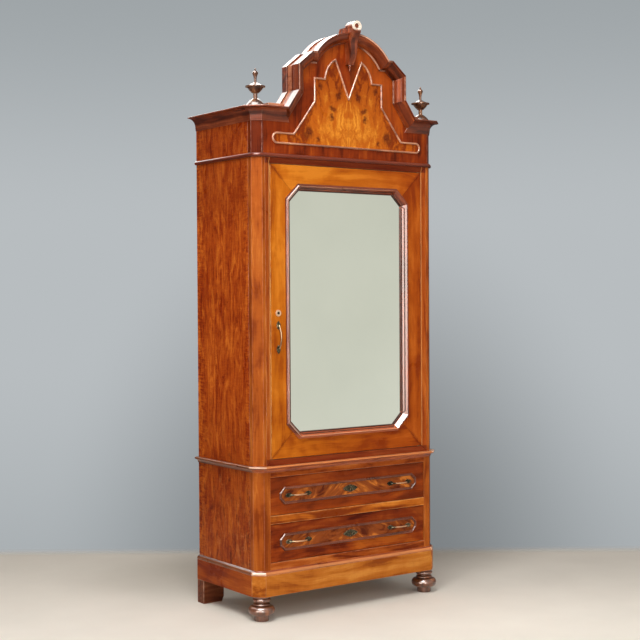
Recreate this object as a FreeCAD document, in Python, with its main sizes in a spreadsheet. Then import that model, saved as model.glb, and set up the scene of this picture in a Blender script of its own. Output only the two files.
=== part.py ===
import FreeCAD, Part
import math
import os

import Sketcher

# A one-door mirrored wardrobe with canted front corners, two drawers in the base and a stepped,
# arched crest. Pieces are drawn with the case's front plane at y = 0, its back at +Y, x = 0 in
# the middle and the floor at z = 0.

os.makedirs("parts", exist_ok=True)
doc = FreeCAD.newDocument("Wardrobe")
sheet = doc.addObject("Spreadsheet::Sheet", "Sizes")
Vector = FreeCAD.Vector


# A length together with the expression that binds it to the sheet.
class Size:
    def __init__(self, text, value):
        self.text = text
        self.value = float(value)

    def __add__(self, other):
        other = as_size(other)
        return Size(f"({self.text} + {other.text})", self.value + other.value)

    def __sub__(self, other):
        other = as_size(other)
        return Size(f"({self.text} - {other.text})", self.value - other.value)

    def __mul__(self, factor):
        return Size(f"{self.text} * {factor!r}", self.value * factor)

    def __truediv__(self, divisor):
        return Size(f"{self.text} / {divisor!r}", self.value / divisor)

    def __neg__(self):
        return Size(f"(-{self.text})", -self.value)

    def __float__(self):
        return self.value

    __rmul__ = __mul__


def as_size(length):
    return length if isinstance(length, Size) else Size(repr(length), length)


ZERO = Size("0", 0)
sheet_rows = []


def size(name, value):
    sheet_rows.append(name)
    row = len(sheet_rows)
    sheet.set(f"A{row}", name)
    sheet.set(f"B{row}", str(value))
    sheet.setAlias(f"B{row}", name)
    return Size(f"Sizes.{name}", value)


# Case: overall body, canted corner and board thicknesses
case_width = size("case_width", 1000)
case_depth = size("case_depth", 494)
cant = size("cant", 34)
side_thickness = size("side_thickness", 20)
post_depth = size("post_depth", 60)
post_inner_depth = size("post_inner_depth", 26)
back_thickness = size("back_thickness", 10)
seat_gap = size("seat_gap", 0.3)

# Feet and plinth
foot_height = size("foot_height", 108)
foot_inset = size("foot_inset", 40)
foot_setback = size("foot_setback", 35)
foot_pad_radius = size("foot_pad_radius", 30)
foot_pad_height = size("foot_pad_height", 27)
foot_ball_radius = size("foot_ball_radius", 55)
foot_ball_height = size("foot_ball_height", 41)
foot_neck_radius = size("foot_neck_radius", 24)
foot_bead_radius = size("foot_bead_radius", 31)
foot_bead_height = size("foot_bead_height", 7)
foot_ring_radius = size("foot_ring_radius", 33)
foot_ring_height = size("foot_ring_height", 12)
rear_foot_width = size("rear_foot_width", 125)
rear_foot_depth = size("rear_foot_depth", 55)
rear_foot_inset = size("rear_foot_inset", 6)
rear_foot_taper = size("rear_foot_taper", 12)
plinth_height = size("plinth_height", 92)
plinth_projection = size("plinth_projection", 12)
plinth_thickness = size("plinth_thickness", 22)
plinth_corner_return = size("plinth_corner_return", 6)
plinth_block = size("plinth_block", 92)
plinth_moulding_height = size("plinth_moulding_height", 20)
plinth_moulding_nose = size("plinth_moulding_nose", 5)
plinth_moulding_fillet = size("plinth_moulding_fillet", 3)
plinth_moulding_round = size("plinth_moulding_round", 13)

# Base with two drawers
bottom_rail_height = size("bottom_rail_height", 50)
middle_rail_height = size("middle_rail_height", 37)
top_rail_height = size("top_rail_height", 25)
drawer_opening_height = size("drawer_opening_height", 166.5)
lower_post_width = size("lower_post_width", 67)
rail_depth = size("rail_depth", 60)
bottom_board_thickness = size("bottom_board_thickness", 15)
runner_width = size("runner_width", 78)
runner_thickness = size("runner_thickness", 18)
guide_height = size("guide_height", 24)
waist_height = size("waist_height", 26)
waist_projection = size("waist_projection", 21)
waist_nose = size("waist_nose", 8)
waist_cove = size("waist_cove", 15)
waist_fillet = size("waist_fillet", 4)

# Drawers
drawer_gap = size("drawer_gap", 1)
drawer_setback = size("drawer_setback", 3)
drawer_front_thickness = size("drawer_front_thickness", 22)
drawer_edge_round = size("drawer_edge_round", 3.5)
drawer_side_thickness = size("drawer_side_thickness", 12)
drawer_side_room = size("drawer_side_room", 18.2)
drawer_rear_room = size("drawer_rear_room", 27)
drawer_bottom_thickness = size("drawer_bottom_thickness", 8)
drawer_bottom_lift = size("drawer_bottom_lift", 8)
drawer_side_clearance = size("drawer_side_clearance", 1.5)
drawer_frame_margin = size("drawer_frame_margin", 48)
drawer_frame_height = size("drawer_frame_height", 76)
drawer_frame_clip = size("drawer_frame_clip", 25)
drawer_frame_band = size("drawer_frame_band", 11)
drawer_frame_proud = size("drawer_frame_proud", 7)
drawer_frame_valley = size("drawer_frame_valley", 3)
drawer_pull_inset = size("drawer_pull_inset", 101)

# Upper case
upper_case_height = size("upper_case_height", 1334)
surround_width = size("surround_width", 26)
surround_reveal = size("surround_reveal", 15)
surround_sink = size("surround_sink", 6)
surround_fillet = size("surround_fillet", 3)
surround_bead = size("surround_bead", 5)
surround_depth = size("surround_depth", 29.5)
stop_width = size("stop_width", 30)
stop_overlap = size("stop_overlap", 10)
stop_thickness = size("stop_thickness", 10)
stop_hinge_clearance = size("stop_hinge_clearance", 48)
top_board_thickness = size("top_board_thickness", 16)
shelf_drop = size("shelf_drop", 229)
shelf_thickness = size("shelf_thickness", 18)
shelf_setback = size("shelf_setback", 66)
batten_height = size("batten_height", 30)
batten_thickness = size("batten_thickness", 18)
rail_radius = size("rail_radius", 14)
rail_drop = size("rail_drop", 95)
socket_radius = size("socket_radius", 26)
socket_thickness = size("socket_thickness", 16)
socket_fit = size("socket_fit", 0.1)
back_board_count = 4

# Door
door_gap = size("door_gap", 2.5)
door_setback = size("door_setback", 5)
door_thickness = size("door_thickness", 24)
door_stile_show = size("door_stile_show", 78.5)
door_low_rail_show = size("door_low_rail_show", 79.5)
door_high_rail_show = size("door_high_rail_show", 80.5)
mirror_band = size("mirror_band", 30)
mirror_lip = size("mirror_lip", 18)
mirror_clip = size("mirror_clip", 66)
mirror_proud = size("mirror_proud", 12)
mirror_bead = size("mirror_bead", 10)
mirror_edge = size("mirror_edge", 4)
mirror_slope_end = size("mirror_slope_end", 9)
glass_thickness = size("glass_thickness", 6)
cover_thickness = size("cover_thickness", 6)
cover_margin = size("cover_margin", 20)
pivot_edge = size("pivot_edge", 12.5)
pivot_setback = size("pivot_setback", 6)
pivot_pin_radius = size("pivot_pin_radius", 3)
pivot_pin_fit = size("pivot_pin_fit", 0.05)
pivot_pin_length = size("pivot_pin_length", 14)
pivot_collar_radius = size("pivot_collar_radius", 4.4)
plate_length = size("plate_length", 60)
plate_width = size("plate_width", 15)
plate_setback = size("plate_setback", 1.5)
plate_thickness = size("plate_thickness", 3)
plate_inset = size("plate_inset", 1)
pin_hole_depth = size("pin_hole_depth", 18)
pin_hole_radius = size("pin_hole_radius", 3.6)

# Locks, keyhole plates and bow pulls
keyhole_height = size("keyhole_height", 632)
keyhole_radius = size("keyhole_radius", 2.4)
keyhole_drop = size("keyhole_drop", 8)
keyhole_slot = size("keyhole_slot", 2.6)
lock_case_length = size("lock_case_length", 60)
lock_case_height = size("lock_case_height", 80)
lock_case_depth = size("lock_case_depth", 14)
lock_clearance = size("lock_clearance", 0.3)
bolt_height = size("bolt_height", 30)
bolt_thickness = size("bolt_thickness", 7)
bolt_length = size("bolt_length", 34)
bolt_throw = size("bolt_throw", 9)
bolt_clearance = size("bolt_clearance", 0.4)
drawer_lock_width = size("drawer_lock_width", 56)
drawer_lock_depth = size("drawer_lock_depth", 12)
drawer_lock_below_key = size("drawer_lock_below_key", 16)
drawer_bolt_width = size("drawer_bolt_width", 22)
drawer_bolt_throw = size("drawer_bolt_throw", 8)
ring_radius = size("ring_radius", 14)
plate_proud = size("plate_proud", 2.5)
leaf_length = size("leaf_length", 38)
leaf_height = size("leaf_height", 20)
pull_spacing = size("pull_spacing", 104)
pull_proud = size("pull_proud", 27)
pull_bar_radius = size("pull_bar_radius", 3.3)
pull_post_radius = size("pull_post_radius", 5)
pull_post_height = size("pull_post_height", 9)
door_pull_drop = size("door_pull_drop", 105)
key_leaf_length = size("key_leaf_length", 84)
key_leaf_height = size("key_leaf_height", 30)
key_disc_radius = size("key_disc_radius", 17)

# Frieze, cornice and crest
frieze_bead_nose = size("frieze_bead_nose", 6)
frieze_height = size("frieze_height", 199)
frieze_block = size("frieze_block", 75)
frieze_corner_return = size("frieze_corner_return", 6)
cornice_projection = size("cornice_projection", 45)
cornice_height = size("cornice_height", 61)
cornice_fillet = size("cornice_fillet", 6)
cornice_quirk = size("cornice_quirk", 3)
cornice_neck = size("cornice_neck", 5)
crest_band = size("crest_band", 46)
crest_inset = size("crest_inset", 201)
crest_slope_run = size("crest_slope_run", 56)
crest_slope_rise = size("crest_slope_rise", 80)
crest_side_rise = size("crest_side_rise", 112)
crest_shoulder_run = size("crest_shoulder_run", 75)
crest_shoulder_rise = size("crest_shoulder_rise", 62)
crest_step_run = size("crest_step_run", 24)
crest_arch_rise = size("crest_arch_rise", 102.5)
pediment_thickness = size("pediment_thickness", 14)
core_thickness = size("core_thickness", 38)
core_recess = size("core_recess", 7)
rear_band_thickness = size("rear_band_thickness", 37)
core_foot_inset = size("core_foot_inset", 80)
core_foot_height = size("core_foot_height", 20)
roof_thickness = size("roof_thickness", 10)

# Burl panel and its bead
panel_base_rise = size("panel_base_rise", 47)
panel_tail_inset = size("panel_tail_inset", 110)
panel_tail_height = size("panel_tail_height", 43)
panel_tail_length = size("panel_tail_length", 90)
panel_slope_rise = size("panel_slope_rise", 150)
panel_side_rise = size("panel_side_rise", 103)
panel_horn_rise = size("panel_horn_rise", 91)
panel_horn_radius = size("panel_horn_radius", 115)
panel_notch_depth = size("panel_notch_depth", 172)
panel_bead_width = size("panel_bead_width", 8)
panel_bead_proud = size("panel_bead_proud", 7)
panel_bead_round = size("panel_bead_round", 3)

# Corbel over the middle of the crest
corbel_width = size("corbel_width", 46)
corbel_foot_width = size("corbel_foot_width", 26)
corbel_proud = size("corbel_proud", 64)
corbel_foot_proud = size("corbel_foot_proud", 20)
corbel_length = size("corbel_length", 139)
corbel_saddle_depth = size("corbel_saddle_depth", 42)
corbel_saddle_level = size("corbel_saddle_level", 12)
corbel_saddle_round = size("corbel_saddle_round", 55)
corbel_roll_radius = size("corbel_roll_radius", 24)
corbel_roll_lead = size("corbel_roll_lead", 5)
corbel_roll_rise = size("corbel_roll_rise", 25)
corbel_eye_radius = size("corbel_eye_radius", 15)
corbel_eye_depth = size("corbel_eye_depth", 4)
corbel_boss_radius = size("corbel_boss_radius", 5)
corbel_cap_height = size("corbel_cap_height", 8)
corbel_cap_overhang = size("corbel_cap_overhang", 3)
drop_length = size("drop_length", 29)
drop_radius = size("drop_radius", 6)
drop_tip_radius = size("drop_tip_radius", 2)

# Urn finials on the front corners
finial_inset = size("finial_inset", 36)
finial_y = size("finial_y", 51)
finial_foot_radius = size("finial_foot_radius", 42)
finial_foot_edge = size("finial_foot_edge", 6)
finial_foot_height = size("finial_foot_height", 38)
finial_foot_round = size("finial_foot_round", 75)
finial_stem_radius = size("finial_stem_radius", 9)
finial_stem_height = size("finial_stem_height", 22)
finial_cup_radius = size("finial_cup_radius", 13)
finial_bowl_height = size("finial_bowl_height", 26)
finial_bowl_radius = size("finial_bowl_radius", 35)
finial_bowl_round = size("finial_bowl_round", 70)
finial_rim_radius = size("finial_rim_radius", 43)
finial_rim_height = size("finial_rim_height", 5)
finial_lid_height = size("finial_lid_height", 17)
finial_lid_round = size("finial_lid_round", 80)
finial_neck_radius = size("finial_neck_radius", 5.5)
finial_neck_height = size("finial_neck_height", 10)
finial_bud_radius = size("finial_bud_radius", 12.5)
finial_bud_height = size("finial_bud_height", 27)
finial_bud_flare = size("finial_bud_flare", 60)
finial_dome_height = size("finial_dome_height", 13)
finial_dome_round = size("finial_dome_round", 14)
finial_tip_base = size("finial_tip_base", 3)
finial_tip_height = size("finial_tip_height", 10)
finial_tip_round = size("finial_tip_round", 7)
finial_tip_flat = size("finial_tip_flat", 1)

# Levels and places that follow from the sizes
half_width = case_width / 2
inner_half = half_width - side_thickness
plinth_top = foot_height + plinth_height
lower_drawer_floor = plinth_top + bottom_rail_height
lower_drawer_ceiling = lower_drawer_floor + drawer_opening_height
upper_drawer_floor = lower_drawer_ceiling + middle_rail_height
upper_drawer_ceiling = upper_drawer_floor + drawer_opening_height
lower_case_top = upper_drawer_ceiling + top_rail_height
upper_case_floor = lower_case_top + waist_height
upper_case_top = upper_case_floor + upper_case_height
frieze_floor = upper_case_top + top_board_thickness
frieze_top = frieze_floor + frieze_height
drawer_half = half_width - lower_post_width
back_face = case_depth - back_thickness
origin_y = (case_depth - corbel_proud - corbel_roll_lead) / 2

TAN_HALF_CANT = math.tan(math.radians(22.5))
ROLE_OF = {"xy": "XY_Plane", "xz": "XZ_Plane", "yz": "YZ_Plane"}
nodes = []


# An object that stands for one piece, or one set of like pieces, of the wardrobe. It is
# moved back to the frame of the finished part, whose origin is under the middle of its box.
def keep(piece, label):
    piece.Label = label
    own_place = dict(piece.ExpressionEngine).get(".Placement.Base.y", "0")
    piece.setExpression("Placement.Base.y", f"{own_place} - {origin_y.text}")
    nodes.append(piece)
    return piece


# Bulge of an arc between two outline points: +1 to the left of travel, -1 to the right.
def arc_middle(start, end, radius, side):
    chord = end - start
    half = chord.Length / 2
    normal = Vector(-chord.y, chord.x, 0).normalize() * side
    return (start + end) * 0.5 + normal * (radius - math.sqrt(radius * radius - half * half))


# Edges of a closed outline, arcs anticlockwise. A point is (u, v), or (u, v, radius, side)
# where an arc arrives.
def outline_edges(points, place=lambda u, v: Vector(u, v, 0)):
    edges = []
    for start, end in zip(points, points[1:] + points[:1]):
        a = Vector(float(start[0]), float(start[1]), 0)
        b = Vector(float(end[0]), float(end[1]), 0)
        if len(end) > 2:
            middle = arc_middle(a, b, float(end[2]), end[3])
            if end[3] > 0:
                a, b = b, a
            edges.append(Part.Arc(place(a.x, a.y), place(middle.x, middle.y), place(b.x, b.y)))
        else:
            edges.append(Part.LineSegment(place(a.x, a.y), place(b.x, b.y)))
    return edges


def outline_face(points, place):
    return Part.Face(Part.Wire([edge.toShape() for edge in outline_edges(points, place)]))


def origin_plane(body, plane):
    return next(part for part in body.Origin.OriginFeatures if part.Role == ROLE_OF[plane])


# Ties one end of a sketch's edge to its place on the sheet.
def tie_point(sketch, edge, end, point):
    for direction, length in (("DistanceX", point[0]), ("DistanceY", point[1])):
        row = sketch.addConstraint(Sketcher.Constraint(direction, -1, 1, edge, end, float(length)))
        sketch.setExpression(f"Constraints[{row}]", length.text)


# A sketch on an origin plane of its body, every corner tied to the sheet.
def sketch_outline(body, points, plane, level=ZERO, across=ZERO, up=ZERO):
    sketch = body.newObject("Sketcher::SketchObject", body.Name + "Sketch")
    sketch.AttachmentSupport = [(origin_plane(body, plane), "")]
    sketch.MapMode = "FlatFace"
    for axis, place in (("x", across), ("y", up), ("z", level)):
        sketch.setExpression(f"AttachmentOffset.Base.{axis}", place.text)
    sketch.addGeometry(outline_edges(points), False)
    ends = [(edge.StartPoint, edge.EndPoint) for edge in sketch.Geometry]
    count = len(points)

    def end_at(index, corner):
        return 1 if (ends[index][0] - corner).Length < (ends[index][1] - corner).Length else 2

    for index in range(count):
        point = points[(index + 1) % count]
        follower = (index + 1) % count
        corner = Vector(float(point[0]), float(point[1]), 0)
        here = end_at(index, corner)
        there = end_at(follower, corner)
        sketch.addConstraint(Sketcher.Constraint("Coincident", index, here, follower, there))
        tie_point(sketch, index, here, point)
        if len(point) > 2:
            row = sketch.addConstraint(Sketcher.Constraint("Radius", index, float(point[2])))
            sketch.setExpression(f"Constraints[{row}]", point[2].text)
    return sketch


# A rectangular board between two corners.
def board(name, x, y, z):
    box = doc.addObject("Part::Box", name)
    for side, place, (low, high) in (("Length", "x", x), ("Width", "y", y), ("Height", "z", z)):
        box.setExpression(side, (high - low).text)
        box.setExpression(f"Placement.Base.{place}", low.text)
    box.Label = name
    return box


# A board of any outline, padded from low to high along the normal of its plane.
def shaped_board(name, plane, points, low, high):
    body = doc.addObject("PartDesign::Body", name)
    level = -high if plane == "xz" else low
    sketch = sketch_outline(body, points, plane, level)
    pad = body.newObject("PartDesign::Pad", name + "Pad")
    pad.Profile = sketch
    pad.setExpression("Length", (high - low).text)
    body.Label = name
    return body


# A piece turned on a lathe about its own upright axis. Points are (radius, height).
def turned(name, points, x, y, z):
    body = doc.addObject("PartDesign::Body", name)
    sketch = sketch_outline(body, points, "xz")
    revolution = body.newObject("PartDesign::Revolution", name + "Turn")
    revolution.Profile = sketch
    revolution.ReferenceAxis = (sketch, ["V_Axis"])
    revolution.Angle = 360
    for axis, place in (("x", x), ("y", y), ("z", z)):
        body.setExpression(f"Placement.Base.{axis}", place.text)
    body.Label = name
    return body


def rod(name, radius, low, high, x, y, z, direction="z"):
    cylinder = doc.addObject("Part::Cylinder", name)
    cylinder.setExpression("Radius", radius.text)
    cylinder.setExpression("Height", (high - low).text)
    turn = {"z": FreeCAD.Rotation(), "x": FreeCAD.Rotation(Vector(0, 1, 0), 90),
            "y": FreeCAD.Rotation(Vector(1, 0, 0), -90)}[direction]
    cylinder.Placement = FreeCAD.Placement(Vector(), turn)
    start = {"x": x, "y": y, "z": z}
    start[direction] = start[direction] + low
    for axis in "xyz":
        cylinder.setExpression(f"Placement.Base.{axis}", start[axis].text)
    cylinder.Label = name
    return cylinder


def cut(name, base, *tools):
    for index, tool in enumerate(tools):
        result = doc.addObject("Part::Cut", f"{name}Cut{index}")
        result.Base = base
        result.Tool = tool
        result.Label = f"{name}_cut_{index}"
        base = result
    return base


def fuse(name, *pieces):
    union = doc.addObject("Part::MultiFuse", name)
    union.Shapes = list(pieces)
    union.Label = name
    return union


def group(label, *pieces):
    compound = doc.addObject("Part::Compound", label)
    compound.Links = list(pieces)
    return keep(compound, label)


def mirrored(piece):
    mirror = doc.addObject("Part::Mirroring", piece.Name + "Right")
    mirror.Source = piece
    mirror.Normal = Vector(1, 0, 0)
    mirror.Label = piece.Label + "_right"
    return mirror


def pair(label, piece):
    return group(label, piece, mirrored(piece))


def free_shape(label, shape):
    feature = doc.addObject("Part::Feature", label)
    feature.Shape = shape
    feature.Placement = FreeCAD.Placement()
    return keep(feature, label)


# A moulding swept round the case from the left rear corner, level with `base` at its foot.
# Profile points are (distance proud of the case, height).
def swept_moulding(name, profile, base, route):
    body = doc.addObject("PartDesign::Body", name)
    path = body.newObject("Sketcher::SketchObject", name + "Path")
    path.AttachmentSupport = [(origin_plane(body, "xy"), "")]
    path.MapMode = "FlatFace"
    path.setExpression("AttachmentOffset.Base.z", base.text)
    for start, end in zip(route, route[1:]):
        path.addGeometry(Part.LineSegment(Vector(float(start[0]), float(start[1]), 0),
                                          Vector(float(end[0]), float(end[1]), 0)), False)
    for index, corner in enumerate(route):
        edge, end = (index - 1, 2) if index else (0, 1)
        if 0 < index < len(route) - 1:
            path.addConstraint(Sketcher.Constraint("Coincident", index - 1, 2, index, 1))
        tie_point(path, edge, end, corner)
    points = [(-point[0], *point[1:]) for point in profile]
    section = sketch_outline(body, points, "xz", -case_depth, -half_width, base)
    doc.recompute()
    pipe = body.newObject("PartDesign::AdditivePipe", name + "Sweep")
    pipe.Profile = section
    pipe.Spine = (path, [f"Edge{index + 1}" for index in range(len(route) - 1)])
    pipe.Transition = "Right corner"
    body.Label = name
    return body


def wrapped_moulding(name, profile, base):
    return keep(swept_moulding(name, profile, base, case_outline), name)


# Mitred lengths of a moulding round a flat frame that faces the front. The outline runs
# anticlockwise seen from the front; profile points are (distance inwards, distance proud).
def mitred_lengths(outline, profile, band, face, built=None):
    corners = [Vector(float(x), 0, float(z)) for x, z in outline]
    count = len(corners)
    ways = [(corners[(i + 1) % count] - corners[i]).normalize() for i in range(count)]
    inward = [Vector(-way.z, 0, way.x) for way in ways]
    mitres = []
    for i in range(count):
        before, after = inward[i - 1], inward[i]
        mitres.append((before + after) * (1 / (1 + before.dot(after))))
    reach = max(abs(float(point[1])) for point in profile) + float(band)
    front = Vector(0, -1, 0)
    solids = []
    for i in built or range(count):
        start, end = corners[i], corners[(i + 1) % count]
        level = Vector(0, float(face), 0)
        region = [start, end, end + mitres[(i + 1) % count] * float(band),
                  start + mitres[i] * float(band)]
        region = [corner + level - front * reach for corner in region]
        mitre_block = Part.Face(Part.makePolygon(region + region[:1])).extrude(front * (2 * reach))
        spare = float(band) * 2
        foot = start + level - ways[i] * spare

        def place(across, proud):
            return foot + inward[i] * across + front * proud

        bar = outline_face(profile, place).extrude(ways[i] * ((end - start).Length + 2 * spare))
        solids += bar.common(mitre_block).Solids
    return solids


case_outline = [(-half_width, case_depth), (-half_width, cant), (cant - half_width, ZERO),
                (half_width - cant, ZERO), (half_width, cant), (half_width, case_depth)]


# Points of an upright rectangle with clipped corners, anticlockwise from the front.
def clipped_rectangle(low_x, high_x, low_z, high_z, clip):
    return [(low_x + clip, low_z), (high_x - clip, low_z), (high_x, low_z + clip),
            (high_x, high_z - clip), (high_x - clip, high_z), (low_x + clip, high_z),
            (low_x, high_z - clip), (low_x, low_z + clip)]


# Front feet: turned buns under the canted corners, a pad, a flattened ball, a bead and a ring
ball_top = foot_pad_height + foot_ball_height
ring_floor = foot_height - foot_ring_height
bead_top = ball_top + foot_bead_height
ball_edge_share = 0.25
ball_round_share = 0.62
bead_round_share = 0.52
ball_edge = foot_ball_height * ball_edge_share
foot_profile = [
    (ZERO, ZERO), (foot_pad_radius, ZERO), (foot_pad_radius, foot_pad_height),
    (foot_ball_radius - ball_edge, foot_pad_height + ball_edge / 2),
    (foot_ball_radius - ball_edge, ball_top - ball_edge / 2,
     foot_ball_height * ball_round_share, -1),
    (foot_neck_radius, ball_top), (foot_bead_radius - foot_bead_height / 2, ball_top),
    (foot_bead_radius - foot_bead_height / 2, bead_top, foot_bead_height * bead_round_share, -1),
    (foot_neck_radius, bead_top), (foot_ring_radius, ring_floor, foot_ring_radius, 1),
    (foot_ring_radius, foot_height), (ZERO, foot_height)]
foot_x = half_width - foot_inset
pair("front_feet", turned("front_foot", foot_profile, -foot_x, foot_setback, ZERO))

# Rear feet: sawn blocks under the back corners, their inner ends cut back towards the floor
rear_foot_outer = -half_width - plinth_projection + rear_foot_inset
rear_foot_inner = rear_foot_outer + rear_foot_width
pair("rear_feet", shaped_board("rear_foot", "xz", [
    (rear_foot_outer, ZERO), (rear_foot_inner - rear_foot_taper, ZERO),
    (rear_foot_inner, rear_foot_taper * 2), (rear_foot_inner, foot_height),
    (rear_foot_outer, foot_height)], case_depth - rear_foot_depth, case_depth))

# Plinth: a frame of boards that stands proud of the case, with canted blocks at the front
outer_half = half_width + plinth_projection
corner_shift = plinth_projection * TAN_HALF_CANT
cant_side_y = cant - corner_shift
cant_front_x = half_width - cant + corner_shift
plinth_inner_y = plinth_thickness - plinth_projection
plinth_inner_x = outer_half - plinth_thickness
return_x = cant_front_x - plinth_corner_return
return_y = cant_side_y + plinth_corner_return
keep(board("plinth_front", (-return_x, return_x), (-plinth_projection, plinth_inner_y),
           (foot_height, plinth_top)), "plinth_front")
pair("plinth_sides", board("plinth_side", (-outer_half, -plinth_inner_x), (return_y, case_depth),
                           (foot_height, plinth_top)))
block_x = outer_half - plinth_block
block_y = plinth_block - plinth_projection
pair("plinth_corners", shaped_board("plinth_corner", "xy", [
    (-outer_half, return_y), (-outer_half, cant_side_y), (-cant_front_x, -plinth_projection),
    (-return_x, -plinth_projection), (-return_x, plinth_inner_y), (-block_x, plinth_inner_y),
    (-block_x, block_y), (-plinth_inner_x, block_y), (-plinth_inner_x, return_y)],
    foot_height, plinth_top))
keep(board("plinth_back_rail", (-plinth_inner_x, plinth_inner_x),
           (case_depth - plinth_thickness, case_depth), (foot_height, plinth_top)),
     "plinth_back_rail")

# Plinth moulding: a rounded strip on the ledge between plinth and case
wrapped_moulding("plinth_moulding", [
    (ZERO, ZERO), (plinth_projection, ZERO), (plinth_projection, plinth_moulding_nose),
    (plinth_moulding_fillet, plinth_moulding_height - plinth_moulding_fillet,
     plinth_moulding_round, 1),
    (ZERO, plinth_moulding_height)], plinth_top)


# A post with a canted outer corner. Its front face ends at reveal_x.
def corner_post(name, reveal_x, low, high):
    return shaped_board(name, "xy", [
        (-half_width, post_depth), (-half_width, cant), (cant - half_width, ZERO),
        (-reveal_x, ZERO), (-reveal_x, post_inner_depth), (-inner_half, post_depth)], low, high)


# Base case: posts, sides, back, drawer rails, runners and bottom board
pair("lower_posts", corner_post("lower_post", drawer_half, plinth_top, lower_case_top))
pair("lower_sides", board("lower_side", (-half_width, -inner_half), (post_depth, case_depth),
                          (plinth_top, lower_case_top)))
keep(board("lower_back", (-inner_half, inner_half), (back_face, case_depth),
           (plinth_top, lower_case_top)), "lower_back")
keep(board("bottom_board", (-inner_half, inner_half), (rail_depth, back_face),
           (plinth_top, plinth_top + bottom_board_thickness)), "bottom_board")


# The pocket that a drawer's lock bolt rises into, in the rail above it.
def bolt_pocket(name, ceiling):
    half = drawer_bolt_width / 2 + bolt_clearance
    middle = drawer_setback + drawer_front_thickness - drawer_lock_depth / 2
    reach = bolt_thickness / 2 + bolt_clearance
    return board(name, (-half, half), (middle - reach, middle + reach),
                 (ceiling, ceiling + drawer_bolt_throw + drawer_gap))


def drawer_rail(name, low, high):
    return board(name, (-drawer_half, drawer_half), (ZERO, rail_depth), (low, high))


group("drawer_rails",
      drawer_rail("bottom_rail", plinth_top, lower_drawer_floor),
      cut("middle_rail", drawer_rail("middle_blank", lower_drawer_ceiling, upper_drawer_floor),
          bolt_pocket("middle_pocket", lower_drawer_ceiling)),
      cut("top_rail", drawer_rail("top_blank", upper_drawer_ceiling, lower_case_top),
          bolt_pocket("top_pocket", upper_drawer_ceiling)))


# An L-shaped runner: the flat carries the drawer's side, the upstand guides it.
def runner(name, floor):
    guide_x = drawer_half - drawer_gap
    return shaped_board(name, "xz", [
        (-inner_half, floor - runner_thickness),
        (runner_width - inner_half, floor - runner_thickness),
        (runner_width - inner_half, floor), (-guide_x, floor),
        (-guide_x, floor + guide_height), (-inner_half, floor + guide_height)],
        rail_depth, back_face)


lower_runner = runner("lower_runner", lower_drawer_floor)
upper_runner = runner("upper_runner", upper_drawer_floor)
group("drawer_runners", lower_runner, mirrored(lower_runner),
      upper_runner, mirrored(upper_runner))

# Waist: the cupboard's floor board, its edge hidden by the waist moulding
keep(shaped_board("cupboard_floor", "xy", case_outline, lower_case_top, upper_case_floor),
     "cupboard_floor")
wrapped_moulding("waist_moulding", [
    (ZERO, ZERO), (waist_fillet, ZERO), (waist_fillet, waist_fillet / 2),
    (waist_projection - waist_fillet / 2, waist_height - waist_nose - waist_fillet / 2,
     waist_cove, -1),
    (waist_projection, waist_height - waist_nose), (waist_projection, waist_height - waist_fillet),
    (waist_projection - waist_fillet, waist_height, waist_fillet, 1), (ZERO, waist_height)],
    lower_case_top)

# Upper case: posts, sides, back boards and top board
surround_half = half_width - cant - surround_reveal
pair("upper_posts", corner_post("upper_post", surround_half, upper_case_floor, upper_case_top))
pair("upper_sides", board("upper_side", (-half_width, -inner_half), (post_depth, case_depth),
                          (upper_case_floor, upper_case_top)))
back_board_width = inner_half * 2 / back_board_count
group("upper_back_boards", *[
    board(f"back_board_{index}",
          (back_board_width * index - inner_half, back_board_width * (index + 1) - inner_half),
          (back_face, case_depth), (upper_case_floor, upper_case_top))
    for index in range(back_board_count)])
keep(shaped_board("top_board", "xy", case_outline, upper_case_top, frieze_floor), "top_board")

# Door surround: a mitred frame that slopes back to the door, with stops behind it
opening_half = surround_half - surround_width
opening_floor = upper_case_floor + surround_width
opening_ceiling = upper_case_top - surround_width
surround_outline = [(-surround_half, upper_case_floor), (surround_half, upper_case_floor),
                    (surround_half, upper_case_top), (-surround_half, upper_case_top)]
surround_profile = [
    (ZERO, -surround_depth), (ZERO, ZERO), (surround_fillet, ZERO),
    (surround_width - surround_bead, -surround_sink), (surround_width, -surround_sink),
    (surround_width, -surround_depth)]
surround_solids = mitred_lengths(surround_outline, surround_profile, surround_width, ZERO)

door_half = opening_half - door_gap
door_floor = opening_floor + door_gap
door_ceiling = opening_ceiling - door_gap
door_back = door_setback + door_thickness
pivot_x = door_half - pivot_edge
pivot_y = door_setback + pivot_setback
keyhole_z = door_floor + keyhole_height
band_half = door_half - door_stile_show
stile_middle = (door_half + band_half) / 2
lock_back = door_back
lock_front = lock_back - lock_case_depth
bolt_middle_y = (lock_front + lock_back) / 2


# A plain box shape between two corners, for the cuts in free shapes.
def box_shape(x, y, z):
    low = Vector(float(x[0]), float(y[0]), float(z[0]))
    box = Part.makeBox(float(x[1] - x[0]), float(y[1] - y[0]), float(z[1] - z[0]), low)
    return box


plate_x = (door_half - plate_inset - plate_length, door_half - plate_inset)
plate_y = (door_setback + plate_setback, door_setback + plate_setback + plate_width)
bolt_mortise = box_shape(
    (-opening_half - bolt_throw - bolt_clearance, -opening_half),
    (bolt_middle_y - bolt_thickness / 2 - bolt_clearance,
     bolt_middle_y + bolt_thickness / 2 + bolt_clearance),
    (keyhole_z - bolt_height / 2 - bolt_clearance, keyhole_z + bolt_height / 2 + bolt_clearance))
plate_seats = [box_shape(plate_x, plate_y, (opening_floor - plate_thickness, opening_floor)),
               box_shape(plate_x, plate_y, (opening_ceiling, opening_ceiling + plate_thickness))]
surround_cut = []
for solid in surround_solids:
    for tool in [bolt_mortise] + plate_seats:
        solid = solid.cut(tool)
    surround_cut += solid.Solids
free_shape("door_surround", Part.makeCompound(surround_cut))

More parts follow.
